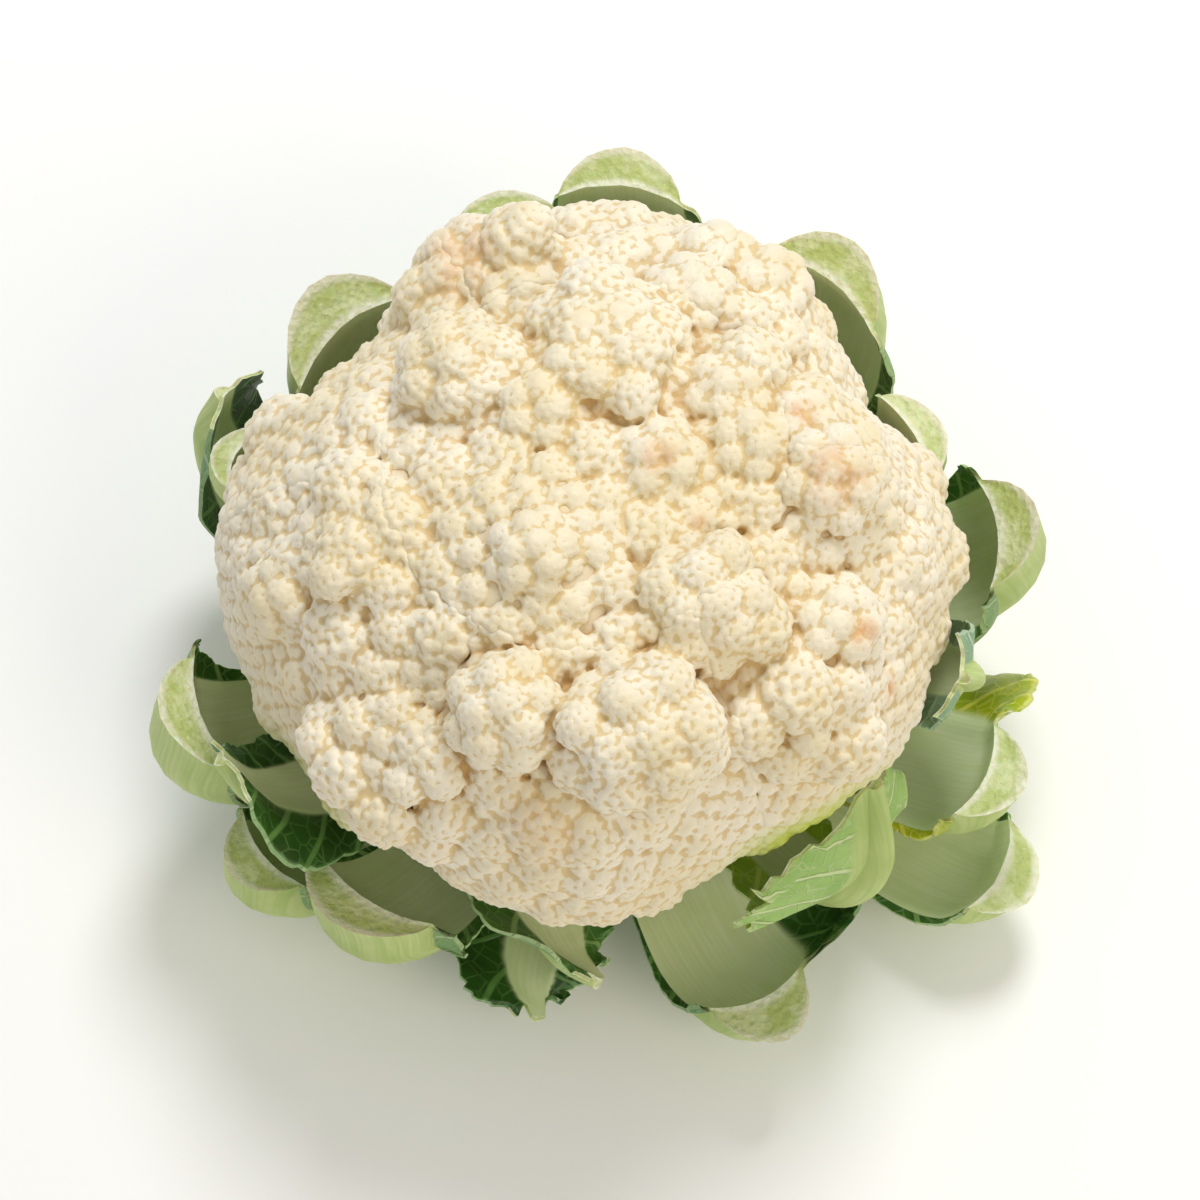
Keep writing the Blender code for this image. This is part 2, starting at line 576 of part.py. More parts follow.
def make_leaf(name, leaf, finish, curd_skin):
    """A leaf as one closed sheet, thick along its rib and thin in its blade."""
    inner, outer = [], []
    for station in range(LEAF_STATIONS):
        place = station / (LEAF_STATIONS - 1)
        point, along, across, inwards = rib_frame(leaf, place)
        rows = ([], [])
        for x, y, rib, past in section(leaf, place):
            middle = point + across * x + inwards * y + along * past
            for row, skin in zip(rows, (BLADE_THICKNESS / 2, -BLADE_THICKNESS / 2 - rib)):
                spot = middle + inwards * skin
                if station == 0:
                    spot = against_stalk(spot)
                if station == LEAF_STATIONS - 1:
                    spot -= along * leaf["slant"] * (inwards.dot(spot - point))
                row.append(spot)
        inner.append(rows[0])
        outer.append(rows[1])
    for s, line in enumerate(room_for_curd(inner, curd_skin)):
        for c, shift in enumerate(line):
            spot = inner[s][c]
            way = Vector((spot.x, spot.y, 0)).normalized()
            inner[s][c] = spot + way * shift
            outer[s][c] = outer[s][c] + way * shift
    columns = len(inner[0])
    inner, outer = sum(inner, []), sum(outer, [])
    count = len(inner)
    faces = []
    for s in range(LEAF_STATIONS - 1):
        for c in range(columns - 1):
            a, b = s * columns + c, s * columns + c + 1
            d, e = a + columns, b + columns
            faces += [(a, b, e), (a, e, d)]
            faces += [(count + a, count + e, count + b), (count + a, count + d, count + e)]
        for edge in (0, columns - 1):
            a = s * columns + edge
            d = a + columns
            side = [(a, d, count + d), (a, count + d, count + a)]
            faces += side if edge == 0 else [tuple(reversed(f)) for f in side]
    for c in range(columns - 1):
        for s in (0, LEAF_STATIONS - 1):
            a = s * columns + c
            end = [(a, count + a, count + a + 1), (a, count + a + 1, a + 1)]
            faces += end if s == 0 else [tuple(reversed(f)) for f in end]
    obj = mesh_object(name, inner + outer, faces, finish)
    shape = bmesh.new()
    shape.from_mesh(obj.data)
    bmesh.ops.recalc_face_normals(shape, faces=shape.faces)
    shape.to_mesh(obj.data)
    shape.free()
    obj.data.shade_smooth()
    obj.data.set_sharp_from_angle(angle=math.radians(45))
    return obj


def against_stalk(spot):
    """The root of a leaf follows the round stalk, a hair clear of it."""
    turn = math.atan2(spot.y, spot.x)
    out = STALK_RADIUS + CLEARANCE
    return Vector((out * math.cos(turn), out * math.sin(turn), spot.z))


def build():
    clear_scene()
    white = material("curd_cream", (0.86, 0.78, 0.60), 0.6)
    cut = material("stalk_pale_green", (0.62, 0.68, 0.38), 0.6)
    green = material("leaf_green", (0.30, 0.45, 0.12), 0.5)
    curd = make_curd(white)
    make_stalk(cut)
    bpy.context.view_layer.update()
    curd_skin = BVHTree.FromObject(curd, bpy.context.evaluated_depsgraph_get())
    for name, leaf in LEAVES.items():
        make_leaf(name, leaf, green, curd_skin)


build()
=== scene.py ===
"""A trimmed cauliflower head, dressed over its solid model: the curd with its florets and buds,
the leaves with ribs, veins and torn edges, and the cut stalk. Metres, +Z up.
"""
import math
import random

import bmesh
import bpy
import numpy as np
from mathutils import Matrix, Vector
from mathutils.bvhtree import BVHTree


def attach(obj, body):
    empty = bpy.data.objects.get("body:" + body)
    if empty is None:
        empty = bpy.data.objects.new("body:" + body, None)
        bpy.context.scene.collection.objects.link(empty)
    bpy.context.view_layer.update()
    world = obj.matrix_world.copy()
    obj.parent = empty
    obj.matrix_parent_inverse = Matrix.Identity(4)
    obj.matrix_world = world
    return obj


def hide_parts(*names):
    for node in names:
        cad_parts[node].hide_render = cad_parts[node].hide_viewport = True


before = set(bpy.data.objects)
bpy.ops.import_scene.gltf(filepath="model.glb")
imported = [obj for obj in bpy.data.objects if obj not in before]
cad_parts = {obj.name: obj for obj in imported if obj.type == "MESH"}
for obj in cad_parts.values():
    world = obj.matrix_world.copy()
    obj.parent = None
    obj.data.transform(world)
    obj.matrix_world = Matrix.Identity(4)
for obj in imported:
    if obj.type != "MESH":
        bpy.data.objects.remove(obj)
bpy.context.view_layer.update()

MM = 0.001

# Camera: the picture is taken from the front and well above
CAMERA_DISTANCE = 0.8
FRAME_PIXELS = 1200

# The curd's body, before its florets stand out of it
CURD_MIDDLE_Z = 78 * MM
CURD_RISE = 59 * MM
CURD_DROP = 30 * MM
CURD_UNDERSIDE_Z = 47 * MM
# How far the head reaches from its axis, as azimuth in degrees and mm
CURD_REACHES = (
    (0, 88), (12, 84.5), (16, 81.5), (23, 72.5), (29, 76), (35, 79), (46, 82), (62, 83.5),
    (74, 83), (90, 84.5), (104, 80), (119, 75.5), (133, 73), (149, 73), (163, 84),
    (180, 87.7), (191, 87), (207, 85), (226, 85), (242, 85), (256, 89), (270, 91),
    (285, 86), (297, 83), (312, 86), (326, 88.5), (343, 86), (360, 88),
)
# How far the florets stand out of the body at the rim
FLORET_STANDOUT = 4.5 * MM

# How the picture is read: pixels of its 1200 x 1200 frame, seen from the front and above
PIXEL = 0.2288 * MM
HEAD_PIXEL = (586, 553)
VIEW_ELEVATION = math.radians(68)

# The head's lobes, each carrying many florets: x, y, half width in pixels and bulge in mm
LOBES = (
    (530, 560, 150, 5), (700, 590, 75, 4), (815, 480, 120, 6), (895, 570, 75, 3),
    (800, 695, 95, 7), (640, 720, 85, 7), (513, 710, 60, 5), (395, 760, 95, 7),
    (375, 550, 100, 6), (275, 590, 80, 2), (460, 280, 120, 6), (620, 225, 90, 4),
    (745, 300, 110, 6), (480, 385, 85, 5), (735, 410, 70, 4),
)
LOBE_SWELL = 1.15
# Florets as the picture shows them: x, y and half width in its pixels, and how many mm
# each stands proud of its neighbours
CROWN_FLORETS = (
    (538, 556, 36, 0), (496, 499, 19, 0), (530, 496, 15, 0), (553, 476, 21, 0),
    (577, 503, 15, 0), (463, 531, 19, 0), (481, 556, 15, 0), (445, 570, 24, 0),
    (483, 590, 16, 0), (457, 632, 32, 0), (511, 624, 22, 0), (541, 603, 15, 0),
    (576, 607, 18, 0), (576, 576, 12, 1), (596, 553, 17, 0), (615, 586, 25, 0),
    (561, 646, 29, 0), (624, 639, 31, 0), (608, 503, 22, 0), (646, 538, 30, 0),
    (508, 462, 28, 0), (452, 485, 31, 0), (593, 460, 28, 0), (572, 682, 14, -2),
)
RIGHT_FLORETS = (
    (657, 469, 38, 0), (696, 607, 52, 1), (692, 524, 20, 0), (719, 547, 20, -1),
    (738, 450, 37, 1), (747, 509, 27, 0), (766, 481, 12, 0), (784, 519, 14, 0),
    (761, 555, 27, 0), (801, 538, 14, 0), (815, 557, 18, 0), (819, 484, 44, 2),
    (792, 427, 36, 0), (729, 402, 38, 0), (757, 376, 31, 1), (807, 397, 26, -1),
    (859, 440, 25, -1), (893, 452, 27, -2), (903, 482, 24, -2), (866, 474, 11, -4),
    (868, 498, 16, -1), (884, 526, 22, -1), (857, 536, 22, -1), (914, 508, 24, -1),
    (914, 540, 18, 0), (932, 535, 16, -1), (899, 567, 20, -1), (930, 568, 16, 0),
    (936, 596, 18, -1), (878, 588, 14, -2), (903, 611, 20, -1), (916, 641, 18, -2),
    (851, 574, 20, 0), (782, 588, 22, -3), (773, 616, 14, -1), (757, 634, 27, 0),
    (826, 616, 38, 2), (882, 624, 26, 0), (805, 640, 15, 1), (785, 688, 31, 2),
    (739, 717, 29, 2), (833, 682, 22, 1), (880, 680, 22, -1), (774, 753, 22, 1),
    (796, 728, 17, 2), (838, 740, 34, 2), (720, 762, 26, -3), (887, 730, 20, -5),
    (906, 752, 15, -6),
)
BACK_FLORETS = (
    (608, 358, 66, 1), (598, 398, 17, 0), (635, 410, 21, 0), (619, 383, 11, 0),
    (686, 306, 39, 1), (677, 350, 12, 0), (707, 359, 16, 1), (744, 323, 24, 0),
    (633, 299, 15, -1), (604, 241, 21, 0), (585, 228, 13, 0), (723, 283, 12, 0),
    (749, 291, 17, 0), (772, 312, 21, 0), (786, 343, 22, 0), (813, 350, 20, 0),
    (830, 374, 24, 0), (848, 402, 18, -1), (646, 258, 36, 0), (713, 256, 38, 0),
    (778, 278, 38, 0), (815, 316, 30, 0), (579, 207, 28, 0), (617, 213, 26, 0),
    (675, 222, 30, 0), (646, 205, 22, 0), (617, 268, 26, 0), (577, 264, 28, 0),
    (474, 264, 54, 0), (530, 258, 36, 0), (512, 230, 30, 0), (533, 212, 22, 0),
    (407, 300, 26, 0), (395, 322, 12, -1), (378, 306, 15, -1), (441, 322, 31, 0),
    (434, 348, 11, -1), (518, 302, 37, 0), (512, 342, 17, -1), (483, 333, 14, -1),
    (585, 297, 28, 0), (387, 341, 20, -1), (404, 360, 10, -3), (458, 378, 48, 2),
    (489, 404, 21, 0), (512, 367, 24, 1), (531, 362, 14, 0), (556, 374, 16, 0),
    (541, 416, 40, 1),
)
LEFT_FLORETS = (
    (378, 389, 34, 0), (373, 425, 25, 1), (409, 436, 16, -1), (426, 429, 14, 0),
    (453, 440, 17, 0), (422, 455, 18, 0), (480, 446, 14, -1), (342, 444, 23, 0),
    (326, 418, 22, -1), (310, 440, 20, -1), (357, 484, 31, 1), (315, 484, 18, 0),
    (347, 528, 26, -2), (405, 524, 28, 0), (393, 494, 12, -1), (266, 465, 26, -1),
    (282, 507, 32, -1), (241, 517, 25, -1), (257, 557, 24, 0), (307, 560, 26, -1),
    (301, 597, 38, 0), (236, 601, 20, -1), (263, 649, 26, -2), (246, 645, 18, -2),
    (317, 640, 22, -2), (307, 676, 29, -1), (277, 668, 22, -2), (363, 559, 30, 1),
    (347, 582, 20, 1), (401, 591, 26, 0), (353, 630, 35, 2), (405, 626, 24, 1),
    (387, 666, 23, 1), (347, 670, 26, 0), (428, 668, 20, 0),
)
FRONT_FLORETS = (
    (513, 701, 46, 2), (636, 728, 62, 1), (613, 688, 18, 0), (578, 716, 20, 1),
    (667, 678, 22, 0), (688, 717, 26, 0), (554, 745, 18, -2), (369, 716, 21, 1),
    (338, 716, 21, 2), (408, 703, 21, 0), (442, 738, 31, 1), (397, 731, 18, 0),
    (336, 738, 20, 2), (357, 764, 28, 3), (417, 772, 19, 2), (454, 768, 18, 2),
    (394, 802, 28, 3), (452, 804, 22, 3), (438, 824, 24, 3), (501, 774, 30, -1),
    (304, 750, 32, -6), (366, 820, 27, -5), (410, 842, 26, -5), (490, 828, 27, -1),
    (461, 864, 26, -1), (542, 814, 33, 0), (592, 831, 27, 0), (640, 808, 30, 0),
    (544, 860, 23, 0), (590, 868, 21, 0), (630, 864, 24, 0), (665, 856, 22, -1),
    (512, 876, 26, 0), (554, 900, 24, 0), (608, 898, 26, 0), (579, 892, 16, 0),
    (680, 812, 18, -1), (700, 815, 24, -1), (745, 803, 25, -5), (790, 792, 26, -5),
    (832, 775, 20, -6), (730, 842, 18, -6),
)
FLORET_SWELL = 1.22
FLORET_SINK = 0.55
# Florets this wide or wider carry small ones of their own
LARGE_HALF = 36
CARRIED_COUNT = 11
CARRIED_SHARE = 0.42
# Narrower ones are too small for a solid and are left to the surface
LEAST_HALF = 15
# The sides that the picture doesn't show carry florets of one size on a golden-angle spiral
UNSEEN_FLORET_RADIUS = 10 * MM
UNSEEN_TRIES = 150
UNSEEN_SPACING = 1.15
GOLDEN_ANGLE = math.radians(137.508)

# How finely the curd's pieces are made.
CURD_VOXELS = {
    "curd_right_back": 0.60 * MM, "curd_back": 0.60 * MM, "curd_left_back": 0.60 * MM,
    "curd_left_front": 0.54 * MM, "curd_front": 0.54 * MM, "curd_right_front": 0.54 * MM,
    "curd_crown": 0.54 * MM, "curd_under": 0.95 * MM,
}
CURD_SIDES = tuple(CURD_VOXELS)[:6]
COARSE = 1
CORE_VOXEL = 2 * MM
STEM_VOXEL = 3 * MM
# A ball gets more faces past each of these radii
BALL_SIZES = (2.4 * MM, 6 * MM)
BALL_ROWS = (2, 3, 4)
# The crown's reach from the axis, the height that no bud passes, and the heights below which
# the curd's back and front belong to its under piece
CROWN_REACH = 44 * MM
CURD_TOP = 145 * MM
UNDER_BACK = 68 * MM
UNDER_FRONT = 52 * MM
# How full the space about a point is when it is out of sight, and the size of the closed core
# as a share of the body
HIDDEN = 0.9
CORE_SHARE = 0.97

# Florets are drawn in a little, so that their buds bring them back to their size
FLORET_SHRINK = 0.92
# A dome's buds: the angles from its top where they stop growing and where they end, their size
# there and at the top as shares of the dome, the least one, how closely they stand, how deep
# they sit, and how much they vary in size and place
BUDS_GROWN = 1.2
SPIRAL_END = 1.85
BUD_AT_TOP = 0.15
BUD_AT_RIM = 0.30
LEAST_BUD = 0.88 * MM
BUD_CROWDING = 0.86
BUD_SINK = 0.42
BUD_SIZES = (0.88, 1.12)
BUD_STRAY = 0.2
# A bud is left out where its middle lies deeper in another dome than this share of the bud
BUD_BURIED = 0.45
# Narrower domes carry no buds
LEAST_DOME = 1.7 * MM
# A dome's neighbours are looked for within this many of its radii
DOME_ROOM = 1.1
# Small domes that fill in between the florets: radius, and how much it varies, how deep they
# sit, how far apart they stand on a lobe, how many are tried on the body, how much room they
# need, and the height where they begin
FILLER_RADIUS = 3.0 * MM
FILLER_SIZES = (0.8, 0.45)
FILLER_SINK = 0.62
FILLER_SPARSE = 1.9
BODY_FILLERS = 2600
FILLER_ROOM = 0.1 * MM
FILLER_LOWEST = 50 * MM
# A floret's way out is read a little past its middle, seen from a place this far below the
# body's middle
HEART_BELOW = 30 * MM
LOBE_COUNT = len(LOBES)

# The stalk's size, as in the solid model
STALK_RADIUS = 25 * MM
CLEARANCE = 0.3 * MM

# The stems: how many there are, how many balls make one, the radius at both its ends in mm,
# where it starts on the stalk and ends in the curd, and the core that they grow from
STEM_COUNT = 12
STEM_BALLS = 16
STEM_RADII = (10, 8)
STEM_START = 10.5 * MM
STEM_REACH = (0.5, 0.8)
STEM_DROP = 0.35
CORE_BALLS = tuple((70 + 4 * k, 22 + k) for k in range(10))

# The leaves: a blade's thickness and least width, and the room that a leaf leaves the curd
BLADE_THICKNESS = 1.0 * MM
LEAST_BLADE = 1.2 * MM
LEAF_ROOM = 1.2 * MM
# The turn in radians with which a blade leaves the rib, and how soon the rib's colour ends
BLADE_TURN = 0.22
RIB_FADE = 4.8
# Where the torn tip begins along a leaf, how torn most edges are in mm, and how far the blades
# pucker
TIP_START = 0.84
USUAL_TEETH = 0.5
PUCKER = 0.35 * MM
# The rib across: how hollow its inner face is, as a share of its half width, and how round its
# back is, as a power
RIB_HOLLOW = 0.25
RIB_FULLNESS = 0.55
# How deep a cut end dries in, and the thickness of a rib that does so in full
DRIED_IN = 0.5 * MM
DRIED_RIB = 6 * MM
SHARP_EDGE = math.radians(50)
# How finely a leaf is made: rows along it, and steps across its rib, each blade and its cut
STATIONS = 52
RIB_STEPS = 10
BLADE_STEPS = 12
CUT_STEPS = 6

# The light: one large soft lamp behind and above, a weak one in front, and a pale room
WORLD_STRENGTH = 0.52
KEY_PLACE = (0.15, 0.65, 1.15)
KEY_SIZE = 0.45
KEY_WATTS = 8.9
FILL_PLACE = (0.7, -0.7, 0.9)
FILL_SIZE = 0.8
FILL_WATTS = 4.2
FLOOR_SIZE = 6

# Each leaf's way is the middle line of its rib: azimuth in degrees, mm from the axis, and height
# in mm. Along it run the rib's half width and thickness and the widths of its two blades, seen
# from above, in mm. Roll is how far each blade curls in, in degrees, ruffle the height in mm and
# the number of its waves, slant how far the cut is tipped, and ahead how far a blade's edge runs
# past the rib, as a share of its width
LEAVES = {
    "leaf_right_inner": dict(
        way=((26, 25, 36), (24, 52, 38), (22, 73, 48), (21, 81, 64), (21, 81, 80)),
        half=(6, 12, 12), thick=(7, 6.5, 6), ccw=(0, 0, 2, 3, 1), cw=(0, 0, 3, 6, 3),
        roll=(25, 25), slant=0.1),
    "leaf_back_right": dict(
        way=((54, 25, 23), (52, 58, 22), (50, 86, 38), (50, 93, 62), (50, 89, 83)),
        half=(7.5, 17, 15.5), thick=(7, 8, 9), ccw=(0, 0, 4, 6, 3), cw=(0, 0, 5, 9, 5),
        roll=(30, 30), slant=0.4),
    "leaf_back": dict(
        way=((84, 25, 10), (84, 62, 11), (85, 91, 32), (85, 98, 58), (85, 94, 82)),
        half=(9, 16, 14.5), thick=(7, 8, 8), ccw=(0, 0, 3, 3, 1), cw=(0, 0, 5, 9, 6),
        roll=(30, 35), slant=0.2),
    "leaf_back_inner": dict(
        way=((104, 25, 36), (105, 54, 38), (105, 80, 50), (104, 88, 66), (103, 87, 83)),
        half=(8, 14, 13.5), thick=(7, 6, 5.5), ccw=(0, 0, 2, 3, 2), cw=(0, 0, 1, 2, 1),
        roll=(25, 25), slant=0.1),
    "leaf_back_left": dict(
        way=((135, 25, 23), (136, 53, 23), (136, 77, 36), (135, 84, 56), (135, 82, 78)),
        half=(9, 17, 17), thick=(7, 9, 10), ccw=(0, 0, 3, 4, 2), cw=(0, 0, 3, 4, 2),
        roll=(30, 30), slant=0.5),
    "leaf_left_inner": dict(
        way=((160, 25, 36), (161, 50, 38), (162, 74, 50), (163, 83, 64), (163, 82, 78)),
        half=(8, 12, 8), thick=(7, 5.5, 4.5), ccw=(0, 0, 1, 1, 1), cw=(0, 0, 1, 1, 1),
        roll=(25, 25), slant=0.1),
    "leaf_left_dark": dict(
        way=((167, 25, 10), (163, 60, 11), (159, 88, 30), (157, 97, 56), (155, 93, 80)),
        half=(8, 8, 2), thick=(7, 6, 2), ccw=(0, 3, 8, 11, 8), cw=(0, 3, 8, 12, 9),
        roll=(10, 10), ruffle=(1.5, 2.5), slant=0.0),
    "leaf_left": dict(
        way=((196, 25, 22), (198, 60, 20), (200, 88, 30), (201, 98, 47), (201, 95, 64)),
        half=(7.5, 15, 15), thick=(7, 9, 9), ccw=(0, 0, 1, 2, 1), cw=(0, 0, 4, 8, 5),
        roll=(5, 45), slant=0.5),
    "leaf_front_left_dark": dict(
        way=((213, 25, 36), (216, 52, 37), (217, 76, 46), (215, 90, 60), (211, 95, 76)),
        half=(8, 7, 2), thick=(7, 5, 2), ccw=(0, 3, 12, 17, 12), cw=(0, 3, 9, 9, 5),
        roll=(-45, -15), ruffle=(1.5, 2.0), slant=0.0),
    "leaf_front_left_low": dict(
        way=((221, 25, 10), (221, 60, 10), (220, 86, 16), (219, 97, 28), (219, 97, 42)),
        half=(8, 14, 11), thick=(7, 8, 8), ccw=(0, 0, 1, 2, 1), cw=(0, 0, 3, 4, 2),
        roll=(30, 30), slant=0.2),
    "leaf_front_left": dict(
        way=((245, 25, 23), (243, 56, 22), (239, 80, 27), (236, 90, 37), (235, 90, 51)),
        half=(7.5, 16, 17), thick=(7, 8.5, 9), ccw=(0, 2, 5, 9, 6), cw=(0, 0, 2, 3, 2),
        roll=(0, 20), slant=0.5),
    "leaf_front_dark": dict(
        way=((262, 25, 10), (261, 54, 9), (261, 72, 11), (261, 84, 14), (263, 93, 15)),
        half=(7, 6, 1.5), thick=(7, 5, 2), ccw=(0, 3, 8, 9, 4), cw=(0, 4, 13, 16, 7),
        roll=(10, -5), ruffle=(1.5, 2.0), slant=0.0),
    "leaf_front_inner": dict(
        way=((260, 25, 36), (260, 50, 36), (262, 70, 36), (266, 82, 37), (272, 90, 39)),
        half=(8, 8, 1.5), thick=(7, 5, 2), ccw=(0, 3, 7, 9, 4), cw=(0, 3, 13, 17, 9),
        roll=(10, 10), ruffle=(1.0, 2.5), slant=0.0),
    "leaf_front_right": dict(
        way=((287, 25, 23), (289, 58, 15), (291, 81, 13), (293, 96, 19), (294, 101, 30)),
        half=(7.5, 14, 12), thick=(7, 8, 9), ccw=(0, 5, 18, 28, 17), cw=(0, 0, 2, 3, 2),
        roll=(15, 20), ruffle=(1.0, 1.5), slant=0.7),
    "leaf_front_light": dict(
        way=((306, 25, 36), (307, 56, 34), (310, 85, 37), (315, 93, 52), (320, 84, 74)),
        half=(6, 6, 2), thick=(7, 6, 2), ccw=(0, 4, 9, 15, 12), cw=(0, 4, 18, 32, 34),
        roll=(10, 18), ruffle=(1.5, 2.0), slant=0.0, ahead=(-0.2, -0.25)),
    "leaf_right_low": dict(
        way=((329, 25, 10), (329, 62, 10), (328, 92, 11), (328, 109, 15), (329, 115, 24)),
        half=(9, 15, 13), thick=(7, 8, 8), ccw=(0, 0, 2, 3, 2), cw=(0, 0, 2, 3, 2),
        roll=(30, 10), slant=0.4),
    "leaf_right_front": dict(
        way=((332, 25, 23), (334, 58, 23), (335, 86, 28), (335, 100, 36), (335, 103, 49)),
        half=(7.5, 14, 12), thick=(7, 8, 8), ccw=(0, 8, 20, 21, 8), cw=(0, 0, 2, 3, 2),
        roll=(-65, 20), ruffle=(1.5, 1.5), slant=0.4),
    "leaf_right_grey": dict(
        way=((352, 25, 36), (351, 52, 38), (348, 78, 50), (344, 91, 65), (340, 90, 79)),
        half=(6, 6, 1.5), thick=(7, 5, 2), ccw=(0, 3, 5, 8, 8), cw=(0, 3, 8, 12, 10),
        roll=(15, 15), ruffle=(0.6, 2.0), slant=0.0, ahead=(0.1, -0.5)),
    "leaf_right": dict(
        way=((15, 25, 22), (12, 60, 22), (8, 88, 36), (6, 99, 54), (5, 96, 72)),
        half=(7.5, 15, 13), thick=(7, 8.5, 9), ccw=(0, 0, 4, 8, 4), cw=(0, 0, 4, 8, 5),
        roll=(35, 40), slant=0.6),
}


def through(values, place):
    """The value at place, 0 to 1, on a smooth curve through evenly spaced values."""
    last = len(values) - 1
    at = min(max(place, 0.0), 1.0) * last
    i = min(int(at), last - 1)
    t = at - i
    before, low, high, after = (values[min(max(k, 0), last)] for k in range(i - 1, i + 3))
    if i == 0:
        before = 2 * low - high
    if i == last - 1:
        after = 2 * high - low
    a = -before + 3 * low - 3 * high + after
    b = 2 * before - 5 * low + 4 * high - after
    return low + 0.5 * t * ((high - before) + t * (b + t * a))


def reach(azimuth):
    """How far the curd's body reaches from the axis in this direction, in metres."""
    turn = math.degrees(azimuth) % 360
    for (low, near), (high, far) in zip(CURD_REACHES, CURD_REACHES[1:]):
        if turn <= high:
            ease = (1 - math.cos(math.pi * (turn - low) / (high - low))) / 2
            return (near + (far - near) * ease) * MM - FLORET_STANDOUT
    raise ValueError("the outline doesn't close")


def about_axis(turn, out, height):
    """The point at this turn in radians, this far out from the axis and at this height."""
    return Vector((out * math.cos(turn), out * math.sin(turn), height))


def body_point(turn, level, rise):
    """A point of the body's skin, by its turn and by its shares outwards and upwards."""
    tall = CURD_RISE if rise > 0 else CURD_DROP
    return about_axis(turn, reach(turn) * level, CURD_MIDDLE_Z + tall * rise)


def golden_ways(count):
    """Directions spread evenly on a golden-angle spiral: turn, and shares out and up."""
    for number in range(count):
        rise = 1 - 2 * (number + 0.5) / count
        yield number * GOLDEN_ANGLE, math.sqrt(1 - rise**2), rise


def body_measure(point):
    """Below 1 inside the curd's body, 1 on its surface."""
    height = point.z - CURD_MIDDLE_Z
    across = math.hypot(point.x, point.y) / reach(math.atan2(point.y, point.x))
    return math.hypot(across, height / (CURD_RISE if height > 0 else CURD_DROP))


def body_normal(point):
    """Which way is out of the body here."""
    step = 0.5 * MM
    slope = Vector(
        body_measure(point + step * axis) - body_measure(point - step * axis)
        for axis in (Vector((1, 0, 0)), Vector((0, 1, 0)), Vector((0, 0, 1)))
    )
    return slope.normalized()


def sphere_hit(centre, radius, start, ray):
    """How far along the ray from start the sphere is last met, or None."""
    along = (centre - start).dot(ray)
    off = (start + along * ray - centre).length
    return along + math.sqrt(radius**2 - off**2) if off < radius else None


def seen_point(x, y, placed):
    """Where the line of sight through a pixel first meets the body or a placed floret."""
    to_eye = Vector((0, -math.cos(VIEW_ELEVATION), math.sin(VIEW_ELEVATION)))
    up = Vector((0, math.sin(VIEW_ELEVATION), math.cos(VIEW_ELEVATION)))
    side = Vector((1, 0, 0))
    right = (x - HEAD_PIXEL[0]) * PIXEL
    rise = (HEAD_PIXEL[1] - y) * PIXEL
    steps = 240
    for inward in (1.0, 0.98, 0.96, 0.94, 0.92, 0.9, 0.87, 0.84, 0.8):
        start = Vector((0, 0, CURD_MIDDLE_Z)) + inward * (right * side + rise * up)
        for k in range(steps):
            away = (120 - k) * MM
            point = start + away * to_eye
            if body_measure(point) < 1:
                break
        else:
            continue
        normal = body_normal(point)
        for centre, radius in placed:
            met = sphere_hit(centre, radius, start, to_eye)
            if met is not None and met > away:
                away, point = met, start + met * to_eye
                normal = (point - centre).normalized()
        return point, normal
    raise ValueError(f"pixel {x}, {y} lies off the curd")


def lobes():
    """The large swellings of the head, as spheres sunk in its body."""
    made = []
    for x, y, half, bulge in LOBES:
        point, normal = seen_point(x, y, ())
        radius = half * PIXEL * LOBE_SWELL
        made.append((point + normal * (bulge * MM - radius), radius))
    return made


def seen_florets(swellings):
    """Centre and radius of every floret that the picture shows, the large ones placed first."""
    listed = CROWN_FLORETS + RIGHT_FLORETS + BACK_FLORETS + LEFT_FLORETS + FRONT_FLORETS
    placed = list(swellings)
    for x, y, half, proud in sorted(listed, key=lambda floret: -floret[2]):
        if half < LEAST_HALF:
            break
        point, normal = seen_point(x, y, placed)
        radius = half * PIXEL * FLORET_SWELL
        centre = point + normal * (proud * MM - FLORET_SINK * radius)
        placed.append((centre, radius))
        if half >= LARGE_HALF:
            placed += carried_florets(centre, radius, normal)
    return placed[len(swellings):]


def carried_florets(centre, radius, normal):
    """The small florets that cover a large one, on a golden-angle spiral about its top."""
    aside = normal.orthogonal().normalized()
    beside = normal.cross(aside)
    made = []
    for k in range(CARRIED_COUNT):
        rise = 1 - 0.72 * (k + 0.3) / CARRIED_COUNT
        level = math.sqrt(1 - rise**2)
        turn = k * GOLDEN_ANGLE
        way = level * (math.cos(turn) * aside + math.sin(turn) * beside) + rise * normal
        small = radius * CARRIED_SHARE
        made.append((centre + way * (radius - 0.55 * small), small))
    return made


def unseen_florets(seen):
    """Florets on the back and low sides, wherever the seen ones leave room."""
    draw = random.Random(7)
    added = []
    for k in range(UNSEEN_TRIES):
        height = 0.95 - 1.55 * k / UNSEEN_TRIES
        level = math.sqrt(1 - min(height**2, 1))
        azimuth = k * GOLDEN_ANGLE
        radius = UNSEEN_FLORET_RADIUS * draw.uniform(0.75, 1.2)
        point = body_point(azimuth, level, height)
        centre = point - body_normal(point) * FLORET_SINK * radius
        room = all(
            (centre - other).length > UNSEEN_SPACING * max(radius, size)
            for other, size in seen + added)
        if room and centre.z - radius > CURD_UNDERSIDE_Z:
            added.append((centre, radius))
    return added


def linear(code):
    """A hex sRGB colour as linear red, green, blue and alpha."""
    parts = [int(code[i:i + 2], 16) / 255 for i in (1, 3, 5)]
    return tuple(c / 12.92 if c < 0.04045 else ((c + 0.055) / 1.055) ** 2.4 for c in parts) + (1.0,)


